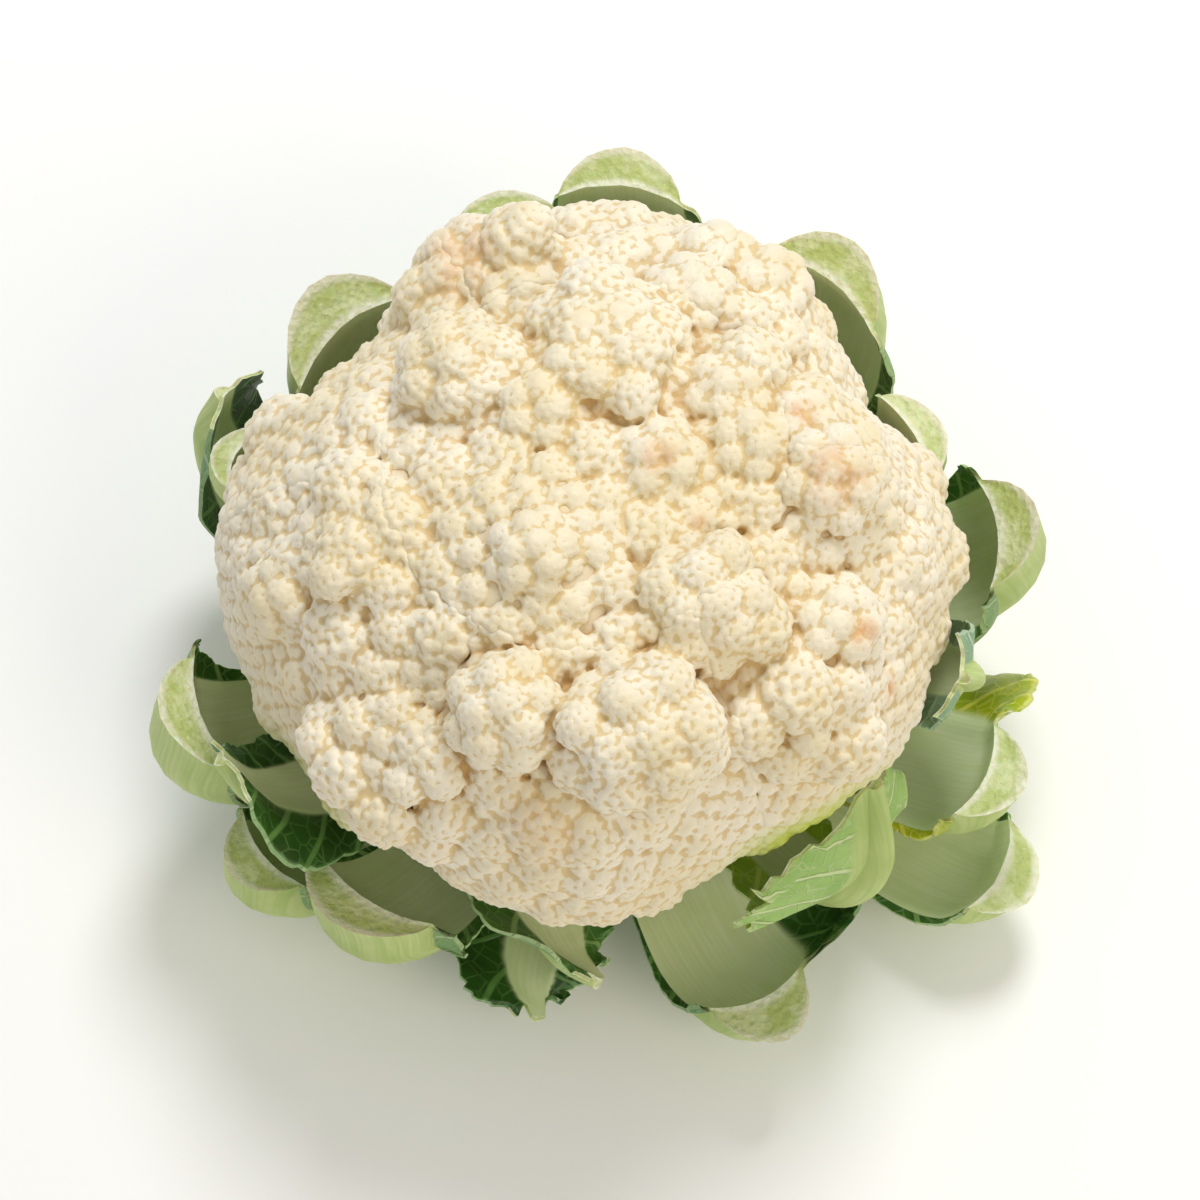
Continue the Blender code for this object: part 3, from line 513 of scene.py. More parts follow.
def add(tree, kind, sockets=None, out=0, **settings):
    """Adds a node with its settings and gives one of its outputs. Each socket that is named
    takes a value or the output of another node."""
    made = tree.nodes.new("ShaderNode" + kind)
    for name, value in settings.items():
        setattr(made, name, value)
    for name, value in (sockets or {}).items():
        if isinstance(value, bpy.types.NodeSocket):
            tree.links.new(value, made.inputs[name])
        else:
            made.inputs[name].default_value = value
    return made.outputs[out]


# Settings of the nodes that mix two colours, take a value smoothly from one range to another,
# and count
MIX = dict(data_type="RGBA")
EASE = dict(interpolation_type="SMOOTHSTEP")
TIMES, PLUS, MINUS, MORE, ABSOLUTE = (
    dict(operation=kind) for kind in ("MULTIPLY", "ADD", "SUBTRACT", "MAXIMUM", "ABSOLUTE"))


def toned(tree, colour, value, low, high, tone, most=1.0, first=0.0):
    """Lays a tone over a colour where a value goes from low to high."""
    share = add(tree, "MapRange", {0: value, 1: low, 2: high, 3: first, 4: most}, **EASE)
    return add(tree, "Mix", {0: share, 6: colour, 7: linear(tone)}, 2, **MIX)


def finish_named(name, roughness, specular=0.5, light_through=0.2, depth_mm=2.0):
    """A new material, its node tree, its shader and object coordinates in metres."""
    made = bpy.data.materials.new(name)
    made.use_nodes = True
    tree = made.node_tree
    shader = tree.nodes["Principled BSDF"]
    for socket, value in (("Roughness", roughness), ("Specular IOR Level", specular),
                          ("Subsurface Weight", light_through),
                          ("Subsurface Scale", depth_mm * MM)):
        shader.inputs[socket].default_value = value
    return made, tree, shader, add(tree, "TexCoord", out=3)


def surface(tree, shader, colour, height, depth_mm):
    """Gives the shader its colour, and its relief from a height of depth_mm."""
    relief = add(tree, "Bump", {"Height": height, "Distance": depth_mm * MM, "Strength": 1.0})
    tree.links.new(colour, shader.inputs["Base Color"])
    tree.links.new(relief, shader.inputs["Normal"])


# Browned places of the curd: pixel, half size in pixels, and strength
STAINS = (
    (822, 482, 30, 0.6), (464, 262, 40, 0.45), (847, 632, 14, 0.8), (790, 426, 14, 0.7),
    (870, 683, 14, 0.8), (655, 467, 16, 0.55), (692, 524, 12, 0.5), (540, 820, 40, 0.25),
)
# Marks on the curd for its painted shade. How deep a dip between buds is for the full painted
# shade, how full the space about a point is where the painted shade of creases and valleys begins
# and how much fuller where it is whole
DIP_SHADE_DEPTH = 0.16 * MM
CREASE_SHADE_BEGINS, CREASE_SHADE_WHOLE = 0.46, 0.36
VALLEY_SHADE_BEGINS, VALLEY_SHADE_WHOLE = 0.42, 0.30
# The heights below which the curd turns darker and yellower and takes a painted green shade, with
# how soon, and the turns in degrees, the widths and the strengths of the sides where the leaves
# beside it cast that painted green shade
YELLOW_BELOW, YELLOW_SOON = 74 * MM, 20 * MM
LEAF_SHADE_BELOW, LEAF_SHADE_SOON = 90 * MM, 15 * MM
LEAF_SHADE_SIDES = ((308, 15, 1.0), (222, 16, 0.6))
# How far a stain spreads past its size, how much of a floret its finest buds cover, and the
# radius of the florets that show them
STAIN_SPREAD = 1.4
YOUNG_SHARE = 0.62
YOUNG_FLORET = 4.5 * MM
# Tones of the curd: mark, where it begins, where it is whole, its strength there, and colour
CURD_TONES = (
    ("young", 0.15, 0.9, 0.3, "#E6D4A2"),
    # painted shade: these three tones darken the gaps between buds, the creases and the valleys to
    # gold
    ("bud_gap_shade", 0.52, 0.9, 0.66, "#D7BA7A"),
    ("crease_shade", 0.34, 0.9, 0.5, "#CFAE66"),
    ("valley_shade", 0.45, 1.0, 0.5, "#B88C48"),
    ("low", 0.0, 1.0, 0.55, "#CDB36C"),
    # painted shade: the green tone is the shade that the leaves cast on the low curd beside them
    ("green", 0.0, 1.0, 0.95, "#BCC948"),
)


def curd_finish():
    """Cauliflower curd: matt cream buds with painted golden shade where they meet, that let a
    little light in.
    """
    made, tree, shader, place = finish_named("cauliflower_curd", 0.55, 0.35, 0.16, 0.8)
    shader.inputs["Subsurface Radius"].default_value = (1.0, 0.85, 0.5)
    cloudy = add(tree, "TexNoise", {"Vector": place, "Scale": 1 / (24 * MM)})
    colour = toned(tree, linear("#EFE7D2"), cloudy, 0.38, 0.62, "#EADFC1")
    for mark, low, high, strength, tone in CURD_TONES:
        value = add(tree, "Attribute", out=2, attribute_name=mark)
        colour = toned(tree, colour, value, low, high, tone, strength)
    # Bruises are brown in blotches of about 4 mm, and a few specks are smaller than a bud
    for mark, size_mm, low, high, strength, tone in (
            ("stain", 4, 0.3, 0.62, 0.9, "#D99C60"), (None, 1.3, 0.77, 0.81, 0.4, "#B07F45"),
            (None, 3, 0.6, 0.75, 0.16, "#DDC48C")):
        value = add(tree, "TexNoise", {"Vector": place, "Scale": 1 / (size_mm * MM), "Detail": 3})
        share = add(tree, "MapRange", {0: value, 1: low, 2: high, 4: strength}, **EASE)
        if mark:
            value = add(tree, "Attribute", out=2, attribute_name=mark)
            share = add(tree, "Math", {0: share, 1: value}, **TIMES)
        colour = add(tree, "Mix", {0: share, 6: colour, 7: linear(tone)}, 2, **MIX)
    grain = add(tree, "TexNoise", {"Vector": place, "Scale": 1 / (0.6 * MM), "Detail": 3})
    surface(tree, shader, colour, grain, 0.12)
    return made


def stem_finish():
    """Stems of the curd: smooth and juicy, pale green with faint streaks."""
    made, tree, shader, place = finish_named("curd_stem_flesh", 0.5)
    streaks = add(tree, "TexNoise", {"Vector": place, "Scale": 1 / (6 * MM), "Detail": 3})
    colour = add(tree, "Mix", {0: streaks, 6: linear("#E9E7C4"), 7: linear("#CFD79B")}, 2, **MIX)
    surface(tree, shader, colour, streaks, 0.3)
    return made


def put_in_scene(data):
    """A new object of the same name that shows this mesh, lamp or camera."""
    made = bpy.data.objects.new(data.name, data)
    bpy.context.scene.collection.objects.link(made)
    return made


def ball(rows):
    """Points and triangles of a small round template of the given fineness."""
    bpy.ops.mesh.primitive_ico_sphere_add(subdivisions=rows, radius=1.0)
    made = bpy.context.object
    points = np.empty(len(made.data.vertices) * 3)
    made.data.vertices.foreach_get("co", points)
    faces = np.empty(len(made.data.polygons) * 3, dtype=np.int64)
    made.data.polygons.foreach_get("vertices", faces)
    bpy.data.objects.remove(made)
    return points.reshape(-1, 3), faces.reshape(-1, 3)


def spiral(radius):
    """Directions from a dome's top down its sides, and sizes that grow on the way, as in a
    real floret, whose youngest and finest buds are in its middle."""
    made = []
    angle, number = 0.0, 0
    while angle < SPIRAL_END:
        small = max(LEAST_BUD, radius * (
            BUD_AT_TOP + (BUD_AT_RIM - BUD_AT_TOP) * min(angle / BUDS_GROWN, 1)))
        made.append((angle, number * GOLDEN_ANGLE, small))
        band = math.tau * max(math.sin(angle), 0.5 * small / radius) * radius**2
        angle += BUD_CROWDING * small**2 * math.pi / band
        number += 1
    return made


def buds_on(centre, radius, normal, others, draw):
    """The buds of one dome that don't lie buried in another dome."""
    aside = normal.orthogonal().normalized()
    beside = normal.cross(aside)
    start = draw.uniform(0, math.tau)
    spots, sizes, ways = [], [], []
    for angle, turn, small in spiral(radius):
        small *= draw.uniform(*BUD_SIZES)
        angle += draw.uniform(-BUD_STRAY, BUD_STRAY) * small / radius
        turn += start
        way = (math.sin(angle) * (math.cos(turn) * aside + math.sin(turn) * beside)
               + math.cos(angle) * normal)
        ways.append(way)
        sizes.append(small)
        spots.append(centre + way * (radius - BUD_SINK * small))
    points = np.array([tuple(spot) for spot in spots])
    reachings = np.array(sizes)
    keep = np.ones(len(points), dtype=bool)
    for other, size in others:
        gap = np.linalg.norm(points - np.array(other), axis=1)
        keep &= gap + BUD_BURIED * reachings > size
    return [(spots[k], sizes[k], ways[k]) for k in np.flatnonzero(keep)]


def settled(values, edges, rounds):
    """Each value drawn to the mean of its neighbours, several times."""
    ends = np.concatenate([edges[:, 0], edges[:, 1]])
    others = np.concatenate([edges[:, 1], edges[:, 0]])
    degree = np.maximum(np.bincount(ends, minlength=len(values)), 1)
    for _ in range(rounds):
        values = np.stack([
            np.bincount(ends, weights=values[others, k], minlength=len(values)) / degree
            for k in range(values.shape[1])], axis=1)
    return values


def near(balls, centres, radii, centre, radius, skip=-1):
    """The balls whose skins come within reach of one ball's skin."""
    gaps = np.linalg.norm(centres - np.array(centre), axis=1)
    found = np.flatnonzero(gaps < radii + radius)
    return [balls[k][:2] for k in found if k != skip]


def fill_mesh(mesh, points, faces):
    """Puts points and faces, all with as many corners, into a mesh in place of its own."""
    mesh.clear_geometry()
    mesh.vertices.add(len(points))
    mesh.vertices.foreach_set("co", np.asarray(points, dtype=np.float32).ravel())
    mesh.loops.add(faces.size)
    mesh.loops.foreach_set("vertex_index", faces.astype(np.int32).ravel())
    mesh.polygons.add(len(faces))
    mesh.polygons.foreach_set(
        "loop_start", np.arange(0, faces.size, faces.shape[1], dtype=np.int32))
    mesh.update(calc_edges=True)


def fused(name, balls, templates, voxel, body=None):
    """One skin over many balls that run into each other."""
    all_points, all_faces, count = [], [], 0
    for centre, radius in balls:
        points, faces = templates[sum(radius > least for least in BALL_SIZES)]
        all_points.append(points * radius + np.array(centre))
        all_faces.append(faces + count)
        count += len(points)
    if body:
        all_points.append(body[0])
        all_faces.append(body[1] + count)
    points, faces = np.concatenate(all_points), np.concatenate(all_faces)
    mesh = bpy.data.meshes.new(name)
    fill_mesh(mesh, points, faces)
    obj = put_in_scene(mesh)
    bpy.ops.object.select_all(action="DESELECT")
    obj.select_set(True)
    bpy.context.view_layer.objects.active = obj
    skin = obj.modifiers.new("skin", "REMESH")
    skin.mode = "VOXEL"
    skin.voxel_size = voxel
    soft = obj.modifiers.new("soft", "SMOOTH")
    soft.factor = 0.3
    soft.iterations = 1
    for modifier in ("skin", "soft"):
        bpy.ops.object.modifier_apply(modifier=modifier)
    obj.data.shade_smooth()
    return obj


def write_point_values(obj, name, values):
    """Marks each point of a piece with a value from 0 to 1, which its finish reads."""
    layer = obj.data.attributes.new(name, "FLOAT", "POINT")
    layer.data.foreach_set("value", np.clip(values, 0, 1).astype(np.float32))


def body_depth(points):
    """The body's measure for many points: 1 on its surface and less inside."""
    turns = np.degrees(np.arctan2(points[:, 1], points[:, 0])) % 360
    knots = np.array(CURD_REACHES)
    reaches = np.interp(turns, knots[:, 0], knots[:, 1]) * MM - FLORET_STANDOUT
    height = points[:, 2] - CURD_MIDDLE_Z
    across = np.hypot(points[:, 0], points[:, 1]) / reaches
    return np.hypot(across, height / np.where(height > 0, CURD_RISE, CURD_DROP))


def mean_over(solid, cells_wide):
    """Each cell's mean over a cube about it, one axis at a time."""
    half = cells_wide // 2
    for axis in range(3):
        running = np.cumsum(np.pad(solid, [(half + 1, half) if k == axis else (0, 0)
                                           for k in range(3)]), axis=axis, dtype=np.float32)
        high = np.take(running, np.arange(2 * half + 1, running.shape[axis]), axis=axis)
        low = np.take(running, np.arange(0, running.shape[axis] - 2 * half - 1), axis=axis)
        solid = (high - low) / (2 * half + 1)
    return solid


class Crowding:
    """How much of the space about a point the curd fills: over half in a crease."""

    def __init__(self, balls):
        self.low = np.array((-110, -110, 20)) * MM
        shape = (220, 220, 150)
        grid = np.stack(np.meshgrid(*[np.arange(n) for n in shape], indexing="ij"), -1)
        points = (grid.reshape(-1, 3) + 0.5) * MM + self.low
        solid = (body_depth(points) < CORE_SHARE).reshape(shape)
        for centre, radius in balls:
            first = np.floor((np.array(centre) - radius - self.low) / MM).astype(int)
            last = first + int(2 * radius / MM) + 2
            block = tuple(slice(max(a, 0), b) for a, b in zip(first, last))
            spots = grid[block] + 0.5 - (np.array(centre) - self.low) / MM
            solid[block] |= (spots**2).sum(-1) < (radius / MM) ** 2
        solid = solid.astype(np.float32)
        self.fine = mean_over(mean_over(solid, 3), 5)
        self.wide = mean_over(mean_over(solid, 9), 11)

    def about(self, field, points):
        cell = ((points - self.low) / MM - 0.5)
        base = np.clip(np.floor(cell).astype(int), 0, np.array(field.shape) - 2)
        part = np.clip(cell - base, 0, 1)
        total = 0
        for corner in range(8):
            step = np.array((corner & 1, corner >> 1 & 1, corner >> 2))
            weight = np.where(step, part, 1 - part).prod(1)
            spot = base + step
            total = total + weight * field[spot[:, 0], spot[:, 1], spot[:, 2]]
        return total


def points_of(obj):
    """A piece's points, one to a row."""
    points = np.empty(len(obj.data.vertices) * 3, dtype=np.float32)
    obj.data.vertices.foreach_get("co", points)
    return points.reshape(-1, 3)


def colour_curd(obj, crowding, stains, tops):
    """Marks the painted shade of the curd's dips, creases and valleys, the painted green shade
    beside the leaves, and where it is stained or finest.
    """
    points = points_of(obj)
    edges = np.empty(len(obj.data.edges) * 2, dtype=np.int32)
    obj.data.edges.foreach_get("vertices", edges)
    normals = np.empty(points.size, dtype=np.float32)
    obj.data.vertices.foreach_get("normal", normals)
    # painted shade: how sunk each point is between buds, and how crowded its creases and valleys
    # are
    sunk = ((settled(points, edges.reshape(-1, 2), 3) - points) * normals.reshape(-1, 3)).sum(1)
    write_point_values(obj, "bud_gap_shade", 0.5 + sunk / DIP_SHADE_DEPTH)
    fine = crowding.about(crowding.fine, points)
    wide = crowding.about(crowding.wide, points)
    write_point_values(obj, "crease_shade", (fine - CREASE_SHADE_BEGINS) / CREASE_SHADE_WHOLE)
    write_point_values(obj, "valley_shade", (wide - VALLEY_SHADE_BEGINS) / VALLEY_SHADE_WHOLE)
    turn = np.degrees(np.arctan2(points[:, 1], points[:, 0])) % 360
    # painted green shade of the leaves, low on the curd and at the turns where they stand
    shaded = np.clip((LEAF_SHADE_BELOW - points[:, 2]) / LEAF_SHADE_SOON, 0, 1)
    side = sum(strength * np.exp(-((turn - middle) / width) ** 2)
               for middle, width, strength in LEAF_SHADE_SIDES)
    write_point_values(obj, "green", shaded * side)
    write_point_values(obj, "low", (YELLOW_BELOW - points[:, 2]) / YELLOW_SOON)
    mark = np.zeros(len(points))
    for centre, radius, strength in stains:
        gap = np.linalg.norm(points - np.array(centre), axis=1) / radius
        mark = np.maximum(mark, strength * np.clip(STAIN_SPREAD - gap, 0, 1))
    write_point_values(obj, "stain", mark)
    young = np.zeros(len(points))
    for top, radius in tops:
        close = np.linalg.norm(points - np.array(top), axis=1) / (YOUNG_SHARE * radius)
        young = np.maximum(young, 1 - close)
    write_point_values(obj, "young", young)


def drop_hidden(obj, crowding):
    """Takes away what lies deep in the head, out of sight."""
    points = points_of(obj)
    kept = crowding.about(crowding.fine, points) < HIDDEN
    corners = np.empty(len(obj.data.loops), dtype=np.int32)
    obj.data.loops.foreach_get("vertex_index", corners)
    faces = corners.reshape(-1, 4)
    faces = faces[kept[faces].all(1)]
    used = np.zeros(len(points), dtype=bool)
    used[faces] = True
    place = np.cumsum(used) - 1
    fill_mesh(obj.data, points[used], place[faces])
    obj.data.shade_smooth()


def body_skin(share):
    """The curd's body as a closed skin, a little inside the florets."""
    columns, rows = 72, 30
    points = [(0, 0, CURD_MIDDLE_Z - CURD_DROP * share)]
    for row in range(1, rows):
        turn = math.pi * (row / rows - 0.5)
        for column in range(columns):
            azimuth = math.tau * column / columns
            out = reach(azimuth) * math.cos(turn) * share
            tall = (CURD_RISE if turn > 0 else CURD_DROP) * math.sin(turn) * share
            points.append((out * math.cos(azimuth), out * math.sin(azimuth), CURD_MIDDLE_Z + tall))
    points.append((0, 0, CURD_MIDDLE_Z + CURD_RISE * share))
    faces = []
    for column in range(columns):
        beside = (column + 1) % columns
        faces.append((0, 1 + beside, 1 + column))
        top = 1 + (rows - 2) * columns
        faces.append((len(points) - 1, top + column, top + beside))
        for row in range(rows - 2):
            base = 1 + row * columns
            faces.append((base + column, base + beside, base + columns + beside))
            faces.append((base + column, base + columns + beside, base + columns + column))
    return np.array(points), np.array(faces)


def fillers(domes):
    """Small domes wherever the body or a lobe would show bare between the florets."""
    centres = np.array([tuple(c) for c, _ in domes])
    radii = np.array([r for _, r in domes])
    made = []

    def offer(point, normal, own):
        gaps = np.linalg.norm(centres - np.array(point), axis=1) - radii
        gaps[own] = 1
        if gaps.min() < FILLER_ROOM or point.z < FILLER_LOWEST:
            return
        if own is not None and body_measure(point) < 1:
            return
        least, more = FILLER_SIZES
        size = FILLER_RADIUS * (least + more * math.sin(1e4 * point.x + 2e4 * point.y) ** 2)
        made.append((point - normal * FILLER_SINK * size, size, normal))

    for k in range(LOBE_COUNT):
        centre, radius = domes[k]
        tries = int(4 * math.pi * radius**2 / (FILLER_SPARSE * FILLER_RADIUS**2))
        for direction in golden_ways(tries):
            way = about_axis(*direction)
            if body_measure(centre + way * radius) > 1:
                offer(centre + way * radius, way, k)
    for direction in golden_ways(BODY_FILLERS):
        point = body_point(*direction)
        offer(point, body_normal(point), None)
    return made


def make_curd():
    """The curd: florets where the picture shows them, with buds and small domes between them,
    fused into one skin for each side, the crown and the underside, over a closed core."""
    draw = random.Random(11)
    templates = tuple(ball(rows) for rows in BALL_ROWS)
    swellings = lobes()
    seen = seen_florets(swellings)
    florets = seen + unseen_florets(seen)
    firsts = swellings + [(centre, radius * FLORET_SHRINK) for centre, radius in florets]
    extra = fillers(firsts)
    heart = Vector((0, 0, CURD_MIDDLE_Z - HEART_BELOW))
    centres = np.array([tuple(c) for c, _ in firsts])
    radii = np.array([r for _, r in firsts])
    seconds = list(extra)
    for k in range(len(swellings), len(firsts)):
        centre, radius = firsts[k]
        if radius < LEAST_DOME:
            continue
        normal = body_normal(centre + (centre - heart).normalized() * 4 * MM)
        around = near(firsts, centres, radii, centre, radius * DOME_ROOM, k)
        seconds += buds_on(centre, radius, normal, around, draw)
    domes = firsts + [(c, r) for c, r, _ in seconds]
    centres = np.array([tuple(c) for c, _ in domes])
    radii = np.array([r for _, r in domes])
    balls = list(domes)
    for k, (centre, radius, way) in enumerate(seconds):
        if radius >= LEAST_DOME:
            own = len(firsts) + k
            around = near(domes, centres, radii, centre, radius * DOME_ROOM, own)
            balls += [b[:2] for b in buds_on(centre, radius, way, around, draw)]
    balls = [b for b in balls if b[0].z + b[1] < CURD_TOP]
    crowding = Crowding(domes)
    tops = [(centre + body_normal(centre) * radius, radius)
            for centre, radius in florets if radius > YOUNG_FLORET]
    stains = [(seen_point(x, y, swellings + seen)[0], half * PIXEL, strength)
              for x, y, half, strength in STAINS]
    groups = {name: [] for name in CURD_VOXELS}
    for centre, radius in balls[LOBE_COUNT:]:
        turn = math.degrees(math.atan2(centre.y, centre.x)) % 360
        name = CURD_SIDES[int(turn / 360 * len(CURD_SIDES))]
        if math.hypot(centre.x, centre.y) < CROWN_REACH and centre.z > CURD_MIDDLE_Z:
            name = "curd_crown"
        elif centre.z < (UNDER_BACK if turn < 180 else UNDER_FRONT):
            name = "curd_under"
        groups[name].append((centre, radius))
    finish = curd_finish()
    for name, kept in groups.items():
        piece = fused(name, kept, templates, CURD_VOXELS[name] * COARSE)
        drop_hidden(piece, crowding)
        colour_curd(piece, crowding, stains, tops)
        belongs_to_curd(piece, finish)
    core = fused("curd_core", swellings, templates, CORE_VOXEL, body_skin(CORE_SHARE))
    drop_hidden(core, crowding)
    colour_curd(core, crowding, stains, tops)
    belongs_to_curd(core, finish)


def belongs_to_curd(piece, finish):
    """Gives a piece its finish and puts it in the place of the solid curd."""
    piece.data.materials.append(finish)
    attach(piece, "root")
    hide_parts("curd")


def make_stems():
    """The core under the florets and the thick branches that carry them, flat underneath."""
    templates = tuple(ball(rows) for rows in BALL_ROWS)
    balls = []
    thick, thin = STEM_RADII
    for number in range(STEM_COUNT):
        azimuth = math.tau * (number + 0.5) / STEM_COUNT
        way = Vector((math.cos(azimuth), math.sin(azimuth), 0))
        start = (way * STALK_RADIUS * STEM_REACH[0]
                 + Vector((0, 0, CURD_UNDERSIDE_Z + STEM_START)))
        end = (way * reach(azimuth) * STEM_REACH[1]
               + Vector((0, 0, CURD_MIDDLE_Z - CURD_DROP * STEM_DROP)))
        for k in range(STEM_BALLS):
            share = k / (STEM_BALLS - 1)
            balls.append((start.lerp(end, share), (thick + (thin - thick) * share) * MM))
    for height, radius in CORE_BALLS:
        balls.append((Vector((0, 0, height * MM)), radius * MM))
    piece = fused("curd_stems", balls, templates, STEM_VOXEL)
    for vertex in piece.data.vertices:
        vertex.co.z = max(vertex.co.z, CURD_UNDERSIDE_Z)
    belongs_to_curd(piece, stem_finish())


def rib_frame(leaf, place):
    """A point of the rib's middle line with its directions: along it, across it and inwards."""
    def at(where):
        azimuth, out, height = (through([p[k] for p in leaf["way"]], where) for k in range(3))
        turn = math.radians(azimuth)
        return Vector((out * math.cos(turn), out * math.sin(turn), height)) * MM

    point = at(place)
    step = 0.01
    along = (at(min(place + step, 1)) - at(max(place - step, 0))).normalized()
    inwards = Vector((0, 0, CURD_MIDDLE_Z)) - point
    inwards = (inwards - inwards.dot(along) * along).normalized()
    return point, along, inwards.cross(along), inwards


def leaf_tear(size, place, side):
    """How many mm a torn or toothed blade edge stands out or in at this place."""
    fine = abs(math.sin(place * 61 + 2.3 * math.sin(place * 23 + side)))
    coarse = math.sin(place * 19 + 1.7 * side + 2 * math.sin(place * 7))
    return size * (1.1 * fine + 0.9 * coarse - 0.9)


def tip_tear(size, x, place):
    """How many mm the torn tip of a blade falls back at x mm across it."""
    near_tip = max(0.0, (place - TIP_START) / (1 - TIP_START))
    teeth = abs(math.sin(0.55 * x)) + 0.8 * abs(math.sin(0.21 * x + 1.1))
    return 1.5 * size * teeth * near_tip**2


def section(leaf, place):
    """Columns across the leaf: offset across, offset inwards, rib thickness, and rib share."""
    half = through(leaf["half"], place) * MM
    thick = through(leaf["thick"], place) * MM
    amount, waves = leaf["ruffle"]
    ahead = leaf.get("ahead", (0, 0))
    columns = []
    for step in range(RIB_STEPS + 1):
        share = -math.cos(math.pi * step / RIB_STEPS)
        lens = max(1 - share**2, 0) ** RIB_FULLNESS
        columns.append((share * half, RIB_HOLLOW * half * share**2, thick * lens, 0.0, 1.0))
    for side, widths, roll, past, front in (
            (1, leaf["ccw"], leaf["roll"][0], ahead[0], False),
            (-1, leaf["cw"], leaf["roll"][1], ahead[1], True)):
        width = max(through(widths, place) * MM, LEAST_BLADE)
        x, y = half, RIB_HOLLOW * half
        turned = BLADE_TURN
        edge = []
        torn = leaf_tear(leaf["teeth"], place, side)
        reach_out = max(1 + torn * MM * min(1, width / (5 * MM)) / width, 0.5)
        for step in range(1, BLADE_STEPS + 1):
            share = step / BLADE_STEPS
            stretch = width * reach_out / BLADE_STEPS
            turned += math.radians(roll) / BLADE_STEPS
            x += stretch * math.cos(turned)
            y += stretch * math.sin(turned)
            wave = amount * MM * share**2 * place
            pucker = (PUCKER * math.sin(place * 46 + share * 5)
                      * min(1, width / (8 * MM)) * share)
            y_here = y + wave * math.sin(math.tau * waves * place + side) + pucker
            edge.append((side * x, y_here, 0.0, past * width * share * place,
                         max(0.0, 1 - share * RIB_FADE)))
        columns = list(reversed(edge)) + columns if front else columns + edge
    return columns


def against_stalk(spot):
    """The root of a leaf follows the round stalk, a hair clear of it."""
    turn = math.atan2(spot.y, spot.x)
    out = STALK_RADIUS + CLEARANCE
    return Vector((out * math.cos(turn), out * math.sin(turn), spot.z))


# The curd is looked for from this far outside a leaf, and for this length inwards
SIGHT_START = 0.15
SIGHT_LENGTH = 0.25


def room_for_curd(rows, curd_skin):
    """How far out each point of a leaf moves, so that the whole leaf clears the curd."""
    needed = np.zeros((len(rows), len(rows[0])))
    for s, row in enumerate(rows):
        for c, spot in enumerate(row):
            way = Vector((spot.x, spot.y, 0)).normalized()
            met = curd_skin.ray_cast(spot + way * SIGHT_START, -way, SIGHT_LENGTH)[0]
            if met:
                gap = math.hypot(spot.x, spot.y) - math.hypot(met.x, met.y)
                needed[s, c] = max(LEAF_ROOM - gap, 0)
    reach_s = max(1, round(len(rows) / 8))
    reach_c = max(1, round(len(rows[0]) / 9))
    grown = needed.copy()
    for s in range(-reach_s, reach_s + 1):
        for c in range(-reach_c, reach_c + 1):
            moved = np.roll(np.roll(needed, s, 0), c, 1)
            if s > 0:
                moved[:s] = 0
            elif s < 0:
                moved[s:] = 0
            if c > 0:
                moved[:, :c] = 0
            elif c < 0:
                moved[:, c:] = 0
            grown = np.maximum(grown, moved)
    for _ in range(3):
        padded = np.pad(grown, 1, mode="edge")
        grown = np.maximum(needed, (padded[:-2, 1:-1] + padded[2:, 1:-1] + padded[1:-1, :-2]
                                    + padded[1:-1, 2:]) / 4)
    return grown


def leaf_rows(leaf):
    """A leaf's rows of points on its inner and on its outer face, the share of rib of each and
    its mm across, each row's mm along, and the direction of the rib at its end."""
    inner, outer, ribs, across_mm, along_mm = [], [], [], [], []
    length, last_point = 0.0, None
    for station in range(STATIONS):
        place = station / (STATIONS - 1)
        point, along, across, inwards = rib_frame(leaf, place)
        if last_point is not None:
            length += (point - last_point).length
        last_point = point
        along_mm.append(length / MM)
        rows, rib_row, x_row = ([], []), [], []
        for x, y, rib, past, share in section(leaf, place):
            torn = tip_tear(leaf["teeth"], x / MM, place) * (1 - share) * MM
            middle = point + across * x + inwards * y + along * (past - torn)
            for row, skin in zip(rows, (BLADE_THICKNESS / 2, -BLADE_THICKNESS / 2 - rib)):
                spot = middle + inwards * skin
                if station == 0:
                    spot = against_stalk(spot)
                if station == STATIONS - 1:
                    spot -= along * leaf["slant"] * (inwards.dot(spot - point))
                    ragged = 0.35 * math.sin(x * 900) + 0.25 * math.sin(x * 2100 + point.x * 300)
                    spot += along * ragged * MM
                row.append(spot)
            rib_row.append(share)
            x_row.append(x / MM)
        inner.append(rows[0])
        outer.append(rows[1])
        ribs.append(rib_row)
        across_mm.append(x_row)
    return inner, outer, ribs, across_mm, along_mm, along


def leaf_faces(columns):
    """The faces between a leaf's rows, the inner ones counted first, each with its finish:
    0 for the inner face, 1 for the outer one and the edges, and 2 for a cut."""
    count = STATIONS * columns
    faces, kinds = [], []
    for s in range(STATIONS - 1):
        for c in range(columns - 1):
            a = s * columns + c
            faces.append((a, a + 1, a + columns + 1, a + columns))
            kinds.append(0)
            faces.append((count + a, count + a + columns, count + a + columns + 1, count + a + 1))
            kinds.append(1)
        for c, flip in ((0, False), (columns - 1, True)):
            a = s * columns + c
            face = (a, a + columns, count + a + columns, count + a)
            faces.append(tuple(reversed(face)) if flip else face)
            kinds.append(1)
    for c in range(columns - 1):
        faces.append((c, count + c, count + c + 1, c + 1))
        kinds.append(2)
    return faces, kinds


